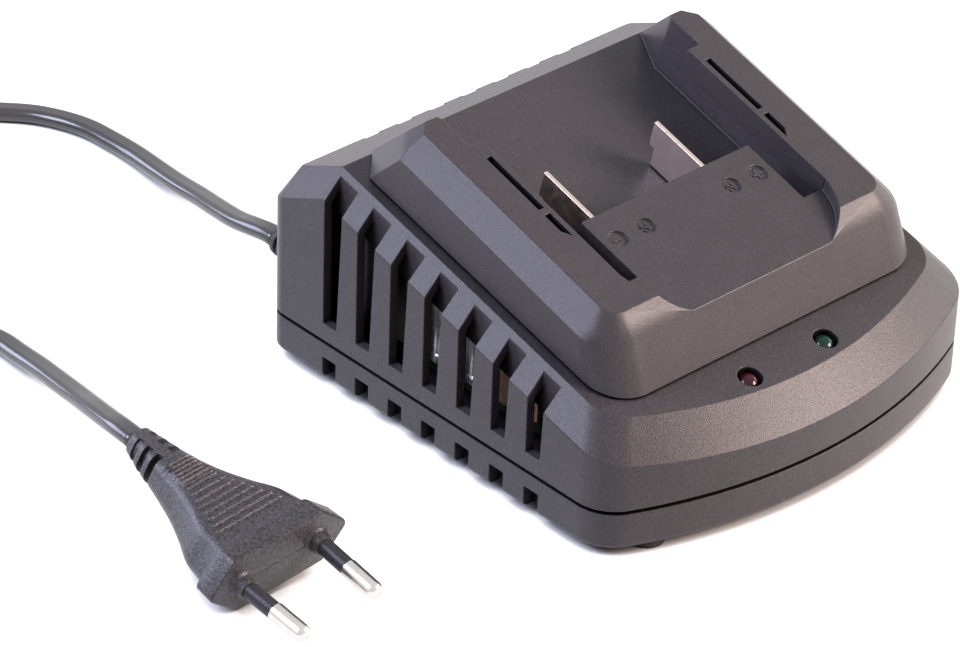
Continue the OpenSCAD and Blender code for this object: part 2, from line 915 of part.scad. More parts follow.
module film_capacitor() {
    color("#b9ad4a") board_block(small_film_at, small_film);
    color("#d7b83c") board_block(mains_film_at, mains_film);
}

choke_at = [-26, 30];
choke_r = 8;
choke_hole_r = 5;
choke_w = 7;

module line_choke() {
    color("#9c5a2c") on_board(choke_at) translate([0, 0, choke_r]) rotate([90, 0, 0])
        rotate_extrude($fn = 48)
            translate([choke_hole_r, -choke_w / 2]) square([choke_r - choke_hole_r, choke_w]);
}

fuse_at = [22, 43.6];
fuse_d = 5.2;
fuse_len = 14;

module fuse() {
    color("#d8d2c4") on_board(fuse_at) translate([-fuse_len / 2, 0, fuse_d / 2]) rotate([0, 90, 0])
        cylinder(d = fuse_d, h = fuse_len, $fn = 40);
}

bridge_at = [32, 22];
bridge_size = [4.4, 16, 12];

module bridge_rectifier() {
    color("#232326") board_block(bridge_at, bridge_size);
}

sink_at = [24, -6];
sink_t = 2;
sink_len = 32;
sink_h = 17;
sink_fins = 6;
fin_len = 6;
fin_t = 1.4;

module heat_sink() {
    color("#b4b6ba") on_board(sink_at) {
        translate([-sink_t / 2, -sink_len / 2, 0]) cube([sink_t, sink_len, sink_h]);
        for (i = [0:sink_fins - 1]) {
            y = (i / (sink_fins - 1) - 0.5) * (sink_len - 2 * sink_t) - fin_t / 2;
            translate([sink_t / 2 - eps, y, 0]) cube([fin_len, fin_t, sink_h]);
        }
    }
}

transistor = [4.4, 10, 12];
transistor_pitch = 16;
transistor_lift = 3;
transistor_lead = [0.6, 0.8];
lead_pitch = 2.54;

module power_transistor() {
    color("#222225") on_board(sink_at) for (side = [-1, 1]) {
        middle = side * transistor_pitch / 2;
        translate([-sink_t / 2 - transistor[0], middle - transistor[1] / 2, transistor_lift])
            cube(transistor);
        for (k = [-1:1]) {
            lead_y = middle + k * lead_pitch - transistor_lead[1] / 2;
            translate([-sink_t / 2 - transistor[0] * 0.6, lead_y, 0])
                cube([transistor_lead[0], transistor_lead[1], transistor_lift + eps]);
        }
    }
}

resistor_at = [-34.6, -7.2];
resistor_size = [6, 6.4, 13];

module ceramic_resistor() {
    color("#b08a66") board_block(resistor_at, resistor_size);
}

disc_at = [-34.8, -15];
disc_r = 4;
disc_t = 3.2;
disc_lift = 0.6;
disc_leg = 0.8;

module disc_capacitor() {
    color("#3c6ea8") on_board(disc_at) {
        translate([-disc_t / 2, 0, disc_r + disc_lift]) rotate([0, 90, 0])
            cylinder(r = disc_r, h = disc_t, $fn = 40);
        for (side = [-1, 1]) {
            translate([-disc_leg / 2, side * disc_r * 0.4 - disc_leg / 2, 0])
                cube([disc_leg, disc_leg, 2 * disc_lift]);
        }
    }
}

chip_at = [2, -30];
chip = [10, 6.4, 3.2];
chip_lift = 0.3;
chip_pins = 4;
chip_pin = [0.6, 0.8, 2];

module controller_chip() {
    color("#202023") on_board(chip_at) {
        translate([-chip[0] / 2, -chip[1] / 2, chip_lift]) cube(chip);
        for (i = [0:chip_pins - 1]) {
            x = (i - (chip_pins - 1) / 2) * lead_pitch;
            for (side = [-1, 1]) {
                pin_y = side * (chip[1] + chip_pin[1] - 2 * eps) / 2;
                translate([x - chip_pin[0] / 2, pin_y - chip_pin[1] / 2, 0]) cube(chip_pin);
            }
        }
    }
}

lead_r = 1;

// Point at the lower end of a blade's tail
function tail_end(x) =
    let (s = -block_back - wall - blade_root + blade_tail_w / 2)
    let (n = -blade_low - blade_tail)
    [x, s * cos(dock_angle) - n * sin(dock_angle), rim_z + s * sin(dock_angle) + n * cos(dock_angle)];

module output_leads() {
    for (x = [-blade_neg_x, blade_pos_x]) {
        p = tail_end(x);
        down = [0, sin(dock_angle), -cos(dock_angle)];
        color(x < 0 ? "#1c1c1e" : "#b3261e")
            swept([p, p + down, p + [0, -1.5, -3], [x * 0.9, -15, board_top + 14],
                [x * 0.8, -18, board_top + 8], [x * 0.7, -19, board_top + 3 * lead_r],
                [x * 0.7, -19, board_top]], lead_r, lead_r, 8, [1, 0, 0]);
    }
}

module mains_leads() {
    y0 = back_y - wall - gland_flange;
    for (k = [0, 1]) {
        x = -gland_x + (k == 0 ? -1.3 : 1.3);
        xe = -gland_x + 3.4 + 2.8 * k;
        y_turn = y0 - 1.8 + 1.2 * k;
        color(k == 0 ? "#6b4a2e" : "#3a5f9e")
            swept([[x, y0, mains_lead_z], [x, y_turn, mains_lead_z],
                [xe, y_turn - 2.4, mains_lead_z + 0.4], [xe, y0 - 5.6, mains_lead_z],
                [xe, y0 - 6.2, board_top + 1], [xe, y0 - 6.2, board_top]],
                mains_lead_r, mains_lead_r, 8, [1, 0, 0]);
    }
}

mains_lead_r = 0.9;
// Height at which the leads cross the heads of the board's screws
mains_lead_z = board_top + board_screw_head_h + mains_lead_r + loose;

// ---- fasteners and feet ----

module housing_screws() {
    color("#8d8f93") four_ways(screw_x, screw_y) difference() {
        union() {
            translate([0, 0, screw_seat_z - screw_head_h])
                cylinder(r = screw_head_r, h = screw_head_h, $fn = 40);
            translate([0, 0, screw_seat_z - eps])
                cylinder(d = screw_d, h = seam_z - screw_seat_z + screw_bite, $fn = 40);
        }
        translate([0, 0, screw_seat_z - screw_head_h - 1])
            cylinder(r = screw_key_r, h = screw_key_h + 1, $fn = 6);
    }
}

screw_bite = 9;
screw_key_r = 0.9;
screw_key_h = 1.2;

module dock_screws() {
    color("#8d8f93") dock_screw_places() {
        translate([0, 0, -wall_square - dock_screw_head_h])
            cylinder(r = dock_screw_d / 2 + dock_screw_rim, h = dock_screw_head_h, $fn = 40);
        translate([0, 0, -wall_square - eps])
            cylinder(d = dock_screw_d, h = wall_square + dock_screw_bite, $fn = 40);
    }
}

dock_screw_head_h = 1.8;
dock_screw_rim = 1.2;
dock_screw_bite = 6.5;

// Wall of the deck measured square to its slope
wall_square = wall * cos(deck_angle);

module board_screws() {
    color("#8d8f93") board_screw_places() {
        translate([0, 0, board_top])
            cylinder(r = board_screw_d / 2 + board_screw_rim, h = board_screw_head_h, $fn = 40);
        translate([0, 0, board_top - board_screw_len])
            cylinder(d = board_screw_d - 2 * thread_slack, h = board_screw_len + eps, $fn = 40);
    }
}

board_screw_rim = 1.1;
board_screw_len = 5;

module rubber_feet() {
    color("#2a2a2c") four_ways(foot_x, foot_y)
        cylinder(d = foot_d - 2 * fit, h = foot_h + foot_sink, $fn = 64);
}

// ---- cord ----

gland_flange = 2.4;
gland_flange_d = gland_d + 0.6;
gland_neck_d = gland_d - 2;
gland_tip_d = 6.4;

module cord_gland() {
    color("#3b3b40") translate([-gland_x, back_y - wall - gland_flange, seam_z]) rotate([-90, 0, 0]) {
        cylinder(d = gland_flange_d, h = gland_flange, $fn = 48);
        translate([0, 0, gland_flange - eps]) cylinder(d = gland_neck_d, h = wall + 2 * eps, $fn = 48);
        translate([0, 0, gland_flange + wall])
            cylinder(d1 = gland_d, d2 = gland_tip_d, h = gland_len, $fn = 48);
    }
}

gland_end = [-gland_x, back_y + gland_len, seam_z];

module mains_cord() {
    color("#3f3e44") {
        swept(concat([gland_end], lead_route), cord_w / 2, cord_t / 2, 10);
        swept(concat(tail_route, [plug_point(plug_tail)]), cord_w / 2, cord_t / 2, 10);
    }
}

module cord_coil() {
    color("#3f3e44") translate([coil_at[0], coil_at[1], 0]) rotate_extrude($fn = 64)
        translate([coil_r - coil_half_w, coil_lift]) square([2 * coil_half_w, coil_h]);
}

tie_w = 5;
tie_t = 1.2;
tie_under = coil_lift - 0.1;

module coil_tie() {
    outer_x = 2 * coil_half_w + 2 * tie_t + 2 * loose;
    color("#1d1d1f") translate([coil_at[0], coil_at[1] + coil_r, 0]) rotate([90, 0, 90])
        translate([0, 0, -tie_w / 2]) linear_extrude(tie_w) difference() {
            translate([-outer_x / 2, 0]) square([outer_x, coil_lift + coil_h + fit + tie_t]);
            translate([-coil_half_w - loose, tie_under])
                square([2 * coil_half_w + 2 * loose, coil_lift + coil_h + fit - tie_under]);
        }
}

// ---- plug ----

sleeve_len = 10;
sleeve_d = pin_d - 0.4;
sleeve_wall = 0.3;
pin_lean = 1.66;
pin_tip = 1.6;
pin_core_d = sleeve_d - 2 * (sleeve_wall + thread_slack);

// Sections from the face to the cord end: distance from the face, width, thickness, slant of the
// pointed sides, rounding of the corners, sideways shift and lift
plug_sections = [
    [0, plug_w, plug_t, 6.4, 1.5, 0, 0], [5.2, plug_w - 0.6, plug_t, 6.4, 1.5, 0, 0],
    [5.7, plug_w - 3.4, plug_t - 0.4, 5.5, 3, -0.2, 0], [8, plug_w - 4.4, plug_t - 0.8, 5.5, 3, -0.3, 0],
    [12, plug_w - 6.4, plug_t - 1.2, 5, 3, -0.4, 0], [17, 23, 11.4, 4.6, 3, -0.6, 0],
    [23, 17.8, 10.6, 4, 3, -0.8, 0], [29, 14, 9.6, 3.4, 3, -0.9, 0], [33, 12, 8.8, 3, 2.6, -0.8, 0],
    [38, 10.2, 7.9, 2.6, 2.3, -0.5, -0.2], [44.5, 7.4, 6.4, 2, 2, 0.2, -0.6]
];
plug_end = plug_sections[len(plug_sections) - 1];
plug_tail = [plug_end[5], plug_end[0], plug_end[6]];
function plug_value(y, k) = lookup(y, [for (v = plug_sections) [v[0], v[k]]]);
relief_slots = 3;
relief_pitch = 3.4;
relief_slot_w = 1.9;
relief_core_r = 3.1;
relief_bridge_w = 2.2;

// The plug's own frame: face at the origin, cord end towards +Y
module plug_frame() {
    translate(plug_at) rotate(plug_turn) children();
}

function turn_x(p, a) = [p[0], p[1] * cos(a) - p[2] * sin(a), p[1] * sin(a) + p[2] * cos(a)];
function turn_y(p, a) = [p[0] * cos(a) + p[2] * sin(a), p[1], -p[0] * sin(a) + p[2] * cos(a)];
function turn_z(p, a) = [p[0] * cos(a) - p[1] * sin(a), p[0] * sin(a) + p[1] * cos(a), p[2]];
function plug_point(p) =
    plug_at + turn_z(turn_y(turn_x(p, plug_turn[0]), plug_turn[1]), plug_turn[2]);

// Ring of points with pointed sides and rounded corners: one row of plug_sections
function plug_ring(v) =
    let (w = v[1] / 2)
    let (t = v[2] / 2)
    let (r = v[4])
    let (a = atan2(v[3], t))
    let (side_x = w - r / cos(a))
    let (top_z = t - r)
    let (top_x = (w * cos(a) - r - top_z * sin(a)) / cos(a))
    [for (q = concat(
        arc_points([side_x, 0], r, -a, a, 4), arc_points([top_x, top_z], r, a, 90, 3),
        arc_points([-top_x, top_z], r, 90, 180 - a, 3), arc_points([-side_x, 0], r, 180 - a, 180 + a, 4),
        arc_points([-top_x, -top_z], r, 180 + a, 270, 3), arc_points([top_x, -top_z], r, 270, 360 - a, 3)
    )) [v[5] + q[0], v[0], v[6] + q[1]]];

module plug_body() {
    color("#5a595d") plug_frame() difference() {
        union() {
            skin([for (v = plug_sections) plug_ring(v)]);
            pin_places() cylinder(d1 = pin_foot_d, d2 = pin_foot_d - 0.5, h = pin_foot_len, $fn = 40);
        }
        insert_block(fit);
        pin_places() translate([0, 0, -insert_front - 1])
            cylinder(d = pin_core_d + 2 * thread_slack, h = insert_front + 2 + pin_foot_len, $fn = 40);
        relief_gaps();
    }
}

// The gaps around the flexible cord end, each left whole above and below
module relief_gaps() {
    for (i = [1:relief_slots]) {
        y = plug_end[0] - i * relief_pitch;
        translate([plug_value(y, 5), y + relief_slot_w / 2, plug_value(y, 6)])
            rotate([90, 0, 0]) difference() {
                cylinder(r = plug_t, h = relief_slot_w, $fn = 32);
                translate([0, 0, -1]) cylinder(r = relief_core_r, h = relief_slot_w + 2, $fn = 32);
                translate([-relief_bridge_w / 2, -plug_t, -1])
                    cube([relief_bridge_w, 2 * plug_t, relief_slot_w + 2]);
            }
    }
}

// The stiff block inside the plug that holds the pins
module insert_block(g) {
    translate([-insert_w / 2 - g, insert_front - g, -insert_t / 2 - g])
        cube([insert_w + 2 * g, insert_len + 2 * g, insert_t + 2 * g]);
}

insert_w = 24;
insert_t = 7.4;
insert_len = 6;
insert_front = 1.4;
pin_foot_d = 5;
pin_foot_len = 2.4;

module pin_places() {
    for (side = [-1, 1]) {
        translate([side * pin_gap / 2, 0, 0])
            rotate([0, 0, side * -pin_lean]) rotate([90, 0, 0]) children();
    }
}

module plug_insert() {
    color("#48474b") plug_frame() difference() {
        insert_block(0);
        pin_places() translate([0, 0, -insert_front - insert_len - 1])
            cylinder(d = pin_core_d + 2 * thread_slack, h = insert_len + 3, $fn = 40);
    }
}

module plug_pins() {
    color("#c9c8c4") plug_frame() pin_places() {
        translate([0, 0, 0.2 - insert_front - insert_len])
            cylinder(d = pin_core_d, h = insert_front + insert_len + sleeve_len, $fn = 40);
        translate([0, 0, sleeve_len]) cylinder(d = pin_d, h = pin_len - sleeve_len - pin_tip, $fn = 40);
        translate([0, 0, pin_len - pin_tip - eps])
            cylinder(d1 = pin_d, d2 = pin_d - 2, h = pin_tip, $fn = 40);
    }
}

module pin_sleeves() {
    color("#242428") plug_frame() pin_places() difference() {
        translate([0, 0, pin_foot_len + fit])
            cylinder(d = sleeve_d, h = sleeve_len - pin_foot_len - 1.5 * fit, $fn = 40);
        cylinder(d = pin_core_d + 2 * thread_slack, h = sleeve_len + 1, $fn = 40);
    }
}

base_housing();
top_housing();
battery_dock();
contact_carrier();
blade_negative();
blade_positive();
red_lamp();
green_lamp();
lamp_spacers();
circuit_board();
transformer_core();
transformer_winding();
mains_capacitor();
output_capacitor();
film_capacitor();
line_choke();
fuse();
bridge_rectifier();
heat_sink();
power_transistor();
ceramic_resistor();
disc_capacitor();
controller_chip();
output_leads();
mains_leads();
housing_screws();
dock_screws();
board_screws();
rubber_feet();
cord_gland();
mains_cord();
cord_coil();
coil_tie();
plug_body();
plug_insert();
plug_pins();
pin_sleeves();
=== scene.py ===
"""Looks of the power tool battery charger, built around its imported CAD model. Metres, +Z up."""
import math

import bmesh
import bpy
from mathutils import Euler, Matrix, Vector


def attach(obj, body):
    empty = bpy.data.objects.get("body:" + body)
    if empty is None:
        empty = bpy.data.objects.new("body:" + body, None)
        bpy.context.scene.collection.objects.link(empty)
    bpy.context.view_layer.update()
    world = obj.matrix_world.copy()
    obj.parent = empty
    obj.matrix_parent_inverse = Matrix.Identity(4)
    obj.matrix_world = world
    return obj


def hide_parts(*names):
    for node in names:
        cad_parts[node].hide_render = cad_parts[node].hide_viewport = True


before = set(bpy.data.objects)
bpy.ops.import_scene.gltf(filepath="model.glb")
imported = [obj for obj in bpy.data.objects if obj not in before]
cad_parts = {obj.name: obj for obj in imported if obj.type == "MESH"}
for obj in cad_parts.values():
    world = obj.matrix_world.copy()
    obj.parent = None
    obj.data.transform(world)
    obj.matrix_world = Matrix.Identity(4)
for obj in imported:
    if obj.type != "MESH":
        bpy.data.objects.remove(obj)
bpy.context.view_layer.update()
MM = 0.001
BODY = "root"

# ---- camera, at the photograph's view ----

# Its place, its turn about Z from the Y axis, its tilt below level and its roll
CAMERA_AT = Vector((-0.5759, -0.5572, 0.5293))
CAMERA_TURN = math.radians(-43.649)
CAMERA_DOWN = math.radians(32.904)
CAMERA_ROLL = math.radians(1.994)
CAMERA_LENS_MM = 173.31
SENSOR_MM = 36.0


def add_camera():
    """The one camera, with the photograph's place, angles and lens."""
    forward = Vector((-math.sin(CAMERA_TURN) * math.cos(CAMERA_DOWN),
                      math.cos(CAMERA_TURN) * math.cos(CAMERA_DOWN), -math.sin(CAMERA_DOWN)))
    right = Vector((math.cos(CAMERA_TURN), math.sin(CAMERA_TURN), 0))
    up = right.cross(forward)
    rolled_right = math.cos(CAMERA_ROLL) * right + math.sin(CAMERA_ROLL) * up
    rolled_up = -math.sin(CAMERA_ROLL) * right + math.cos(CAMERA_ROLL) * up
    turn = Matrix((rolled_right, rolled_up, -forward)).transposed().to_4x4()
    data = bpy.data.cameras.new("camera")
    data.lens = CAMERA_LENS_MM
    data.sensor_width = SENSOR_MM
    data.clip_start = 0.01
    camera = bpy.data.objects.new("camera", data)
    camera.matrix_world = Matrix.Translation(CAMERA_AT) @ turn
    bpy.context.scene.collection.objects.link(camera)
    bpy.context.scene.camera = camera


add_camera()

# ---- shapes ----

# Faces that meet at more than these angles, in degrees, keep a crisp edge between them
MOULDED_CREASE = 38
LAMP_CREASE = 40
TURNED_CREASE = 45


def add_piece(name, points, faces, material, slot=None):
    """A smooth mesh piece that rides with the charger."""
    data = bpy.data.meshes.new(name)
    data.from_pydata([tuple(p) for p in points], [], faces)
    outward = bmesh.new()
    outward.from_mesh(data)
    bmesh.ops.recalc_face_normals(outward, faces=outward.faces)
    outward.to_mesh(data)
    outward.free()
    data.shade_smooth()
    piece = bpy.data.objects.new(name, data)
    bpy.context.scene.collection.objects.link(piece)
    data.materials.append(material)
    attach(piece, BODY)
    return piece


def crease(piece, degrees):
    """Keeps the piece's edges crisp where its faces meet at more than the angle."""
    piece.data.set_sharp_from_angle(angle=math.radians(degrees))


def settle(piece):
    """Applies the piece's modifiers, so that its mesh is final."""
    shape = piece.evaluated_get(bpy.context.evaluated_depsgraph_get())
    final = bpy.data.meshes.new_from_object(shape)
    piece.modifiers.clear()
    piece.data = final


def skin(rings, closed_ends=True):
    """Points and faces of a tube through rings that have the same number of points."""
    n = len(rings[0])
    faces = []
    for i in range(len(rings) - 1):
        for k in range(n):
            m = (k + 1) % n
            faces.append((i * n + k, (i + 1) * n + k, (i + 1) * n + m, i * n + m))
    if closed_ends:
        faces.append(tuple(range(n)))
        faces.append(tuple((len(rings) - 1) * n + k for k in reversed(range(n))))
    return [p for ring in rings for p in ring], faces


def lathe(profile, place, count=48):
    """A turned shape from (radius, height) pairs in mm, listed downwards, around the place's Z axis."""
    rings = []
    for radius, height in profile:
        ring = []
        for k in range(count):
            a = 2 * math.pi * k / count
            ring.append(place @ (Vector((radius * math.cos(a), radius * math.sin(a), height)) * MM))
        rings.append(ring)
    return skin(rings)


def joined(*shapes):
    """Points and faces of several shapes as one."""
    points, faces = [], []
    for more_points, more_faces in shapes:
        start = len(points)
        points += more_points
        faces += [tuple(start + k for k in face) for face in more_faces]
    return points, faces


def arc(cx, cy, r, start, end, count):
    """Points on an arc around (cx, cy), from the start angle to the end angle."""
    angles = [start + (end - start) * k / count for k in range(count + 1)]
    return [(cx + r * math.cos(a), cy + r * math.sin(a)) for a in angles]


def spline(points, step):
    """A smooth line through the points (centripetal Catmull-Rom), about one point a step."""
    p = [Vector(q) for q in points]
    p = [2 * p[0] - p[1]] + p + [2 * p[-1] - p[-2]]
    line = []
    for a, b, c, d in zip(p, p[1:], p[2:], p[3:]):
        knots = [0.0]
        for u, v in ((a, b), (b, c), (c, d)):
            knots.append(knots[-1] + max((v - u).length, 1e-9) ** 0.5)
        count = max(1, round((c - b).length / step))
        for i in range(count):
            t = knots[1] + (knots[2] - knots[1]) * i / count
            line.append(catmull(a, b, c, d, knots, t))
    line.append(p[-2])
    return line


def catmull(a, b, c, d, k, t):
    """The point at t between b and c, where k holds the knots of all four."""
    ab = a.lerp(b, (t - k[0]) / (k[1] - k[0]))
    bc = b.lerp(c, (t - k[1]) / (k[2] - k[1]))
    cd = c.lerp(d, (t - k[2]) / (k[3] - k[2]))
    abc = ab.lerp(bc, (t - k[0]) / (k[2] - k[0]))
    bcd = bc.lerp(cd, (t - k[1]) / (k[3] - k[1]))
    return abc.lerp(bcd, (t - k[1]) / (k[2] - k[1]))


def swept(line, section, up=Vector((0, 0, 1))):
    """A section of (across, up) points carried along the line."""
    rings = []
    for i, p in enumerate(line):
        along = (line[min(i + 1, len(line) - 1)] - line[max(i - 1, 0)]).normalized()
        side = along.cross(up).normalized()
        rise = side.cross(along)
        rings.append([p + side * x + rise * y for x, y in section])
    return skin(rings)


# ---- materials ----

# The span that holds nearly all the values of a noise texture
NOISE_LOW = 0.3
NOISE_HIGH = 0.7


class Nodes:
    """A short way to build a material's node tree."""

    def __init__(self, name):
        self.material = bpy.data.materials.new(name)
        self.material.use_nodes = True
        self.tree = self.material.node_tree
        self.shader = self.tree.nodes["Principled BSDF"]
        self.place = self.add("ShaderNodeTexCoord").outputs["Object"]

    def add(self, kind, **inputs):
        """A node of the kind given, with its inputs set or linked."""
        node = self.tree.nodes.new(kind)
        for key, value in inputs.items():
            self.put(node.inputs[key.replace("_", " ")], value)
        return node

    def put(self, socket, value):
        """Links the value to the socket if it is one itself, or sets the socket to it."""
        if isinstance(value, bpy.types.NodeSocket):
            self.tree.links.new(value, socket)
        else:
            socket.default_value = value

    def noise(self, size_mm, detail=3.0, rough=0.5):
        """Noise with features of about the size given, in the piece's own space."""
        node = self.add("ShaderNodeTexNoise", Vector=self.place, Scale=1 / (size_mm * MM),
                        Detail=detail, Roughness=rough)
        return node.outputs["Fac"]

    def ramp(self, value, stops):
        """A colour for each value, from (value, colour) stops."""
        node = self.add("ShaderNodeValToRGB", Fac=value)
        ramp = node.color_ramp
        while len(ramp.elements) < len(stops):
            ramp.elements.new(0.5)
        for element, (at, colour) in zip(ramp.elements, stops):
            element.position = at
            element.color = (*colour, 1)
        return node.outputs["Color"]

    def mottled(self, value, colour, dark, light, low=NOISE_LOW, high=NOISE_HIGH):
        """The colour, scaled from dark to light as the value goes from low to high."""
        return self.ramp(value, [(low, shade(colour, dark)), (high, shade(colour, light))])

    def spread(self, value, low, high, out_low, out_high):
        """The value, carried from one span to another and held within it."""
        node = self.add("ShaderNodeMapRange", Value=value)
        node.clamp = True
        for key, number in (("From Min", low), ("From Max", high), ("To Min", out_low), ("To Max", out_high)):
            node.inputs[key].default_value = number
        return node.outputs["Result"]

    def scaled(self, colour, factor):
        """The colour times a factor, which may be a socket."""
        node = self.add("ShaderNodeVectorMath")
        node.operation = "SCALE"
        self.put(node.inputs[0], colour)
        self.put(node.inputs["Scale"], factor)
        return node.outputs["Vector"]

    def bump(self, height, distance_mm, strength=1.0, base=None):
        """A normal roughened by the height, on top of the base normal where there is one."""
        node = self.add("ShaderNodeBump", Height=height, Strength=strength, Distance=distance_mm * MM)
        if base is not None:
            self.put(node.inputs["Normal"], base)
        return node.outputs["Normal"]

    def finish(self, **sockets):
        """Sets the shader's sockets and gives the material."""
        for key, value in sockets.items():
            self.put(self.shader.inputs[key.replace("_", " ")], value)
        return self.material


def shade(colour, factor):
    """The colour times a plain number."""
    return tuple(factor * c for c in colour)


# Painted shade: plastic that is closed in on most sides within this reach is painted darker, and its sheen is
# turned down, where shade falls in slots and seams
HOLLOW_REACH_MM = 7.0
HOLLOW_DARK = 0.30
HOLLOW_CLEAR = 0.62
HOLLOW_SHADE = 0.15
MOTTLE_MM = 9.0
GRAIN_LOW = 0.36
GRAIN_HIGH = 0.64
FINE_GRAIN = 0.4
ROUGH_SPAN = 0.07


def moulded(name, colour, rough=0.45, grain_mm=0.4, grain_depth_mm=0.05, mottle=0.06, speckle=0.5,
            shine=0.3, paint_hollow_shade=False):
    """Moulded plastic: fine grain that glints, faint mottling, a slight sheen, and, where asked, painted
    shade that darkens deep hollows and dulls their sheen.
    """
    m = Nodes(name)
    cloud = m.noise(MOTTLE_MM, detail=4.0, rough=0.6)
    grain = m.noise(grain_mm, detail=2.0, rough=0.6)
    fine = m.noise(grain_mm * FINE_GRAIN, detail=1.0)
    colours = m.mottled(cloud, colour, dark=1 - mottle, light=1 + mottle)
    normal = m.bump(grain, grain_depth_mm, strength=0.8)
    normal = m.bump(fine, grain_depth_mm * FINE_GRAIN, strength=0.6, base=normal)
    colours = m.scaled(colours, m.spread(grain, GRAIN_LOW, GRAIN_HIGH, 1 - speckle, 1 + speckle))
    if paint_hollow_shade:
        # Painted shade: ambient occlusion darkens the colour and turns down the sheen in deep hollows
        cover = m.add("ShaderNodeAmbientOcclusion", Distance=HOLLOW_REACH_MM * MM)
        painted_shade = m.spread(cover.outputs["AO"], HOLLOW_DARK, HOLLOW_CLEAR, HOLLOW_SHADE, 1)
        colours = m.scaled(colours, painted_shade)
        shine = m.spread(cover.outputs["AO"], HOLLOW_DARK, HOLLOW_CLEAR, 0, shine)
    matt = m.spread(fine, NOISE_LOW, NOISE_HIGH, rough - ROUGH_SPAN, rough + ROUGH_SPAN)
    return m.finish(Base_Color=colours, Roughness=matt, Normal=normal, Specular_IOR_Level=shine)


TARNISH_MM = 2.5


def metal(name, colour, rough=0.25, brush=(1, 1, 1), brush_mm=0.3, depth_mm=0.003):
    """Plated or bare metal with fine drawn lines along the axis where brush is smallest."""
    m = Nodes(name)
    stretch = m.add("ShaderNodeVectorMath")
    stretch.operation = "MULTIPLY"
    m.put(stretch.inputs[0], m.place)
    stretch.inputs[1].default_value = brush
    brushed = m.add("ShaderNodeTexNoise", Vector=stretch.outputs["Vector"], Scale=1 / (brush_mm * MM),
                    Detail=2.0)
    lines = brushed.outputs["Fac"]
    colours = m.mottled(m.noise(TARNISH_MM), colour, dark=0.93, light=1.04)
    matt = m.spread(lines, NOISE_LOW, NOISE_HIGH, rough * 0.85, rough * 1.2)
    normal = m.bump(lines, depth_mm, strength=0.4)
    return m.finish(Metallic=1.0, Base_Color=colours, Roughness=matt, Normal=normal)


def lamp_material(name, colour):
    """Dark tinted epoxy with a glossy skin."""
    m = Nodes(name)
    cloud = m.noise(1.2, detail=2.0)
    colours = m.mottled(cloud, colour, dark=0.7, light=1.3, low=0.35, high=0.65)
    matt = m.spread(cloud, NOISE_LOW, NOISE_HIGH, 0.02, 0.05)
    ripple = m.bump(m.noise(1.5), distance_mm=0.01, strength=0.2)
    return m.finish(Base_Color=colours, Roughness=matt, Specular_IOR_Level=0.35, Normal=ripple)


def dress_node(node, material):
    """Puts the material in all the slots of a CAD node."""
    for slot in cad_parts[node].material_slots:
        slot.material = material


HOUSING = (0.056, 0.052, 0.056)
# The three shells carry painted shade in their slots, seams and other deep hollows
LOWER_SHELL = moulded("lower_shell", HOUSING, rough=0.34, grain_mm=0.3, speckle=0.4, paint_hollow_shade=True)
UPPER_SHELL = moulded("upper_shell", HOUSING, rough=0.33, grain_mm=0.3, grain_depth_mm=0.06, speckle=0.4,
                      paint_hollow_shade=True)
DOCK_SHELL = moulded("dock_shell", HOUSING, rough=0.33, grain_mm=0.3, speckle=0.3, paint_hollow_shade=True)
PLUG_PVC = moulded("plug_pvc", (0.044, 0.043, 0.048), rough=0.34, grain_mm=0.5, grain_depth_mm=0.12,
                   speckle=0.75, shine=0.45)
PIN_NICKEL = metal("pin_nickel", (0.66, 0.63, 0.60), rough=0.20)
SLEEVE_BLACK = moulded("sleeve_black", (0.03, 0.03, 0.036), rough=0.38)
GLAND_RUBBER = moulded("gland_rubber", (0.035, 0.034, 0.038), rough=0.5)
BLADE_METAL = metal("blade_nickel", (0.66, 0.56, 0.51), rough=0.36, brush=(1, 0.15, 0.15), brush_mm=0.25,
                    depth_mm=0.002)

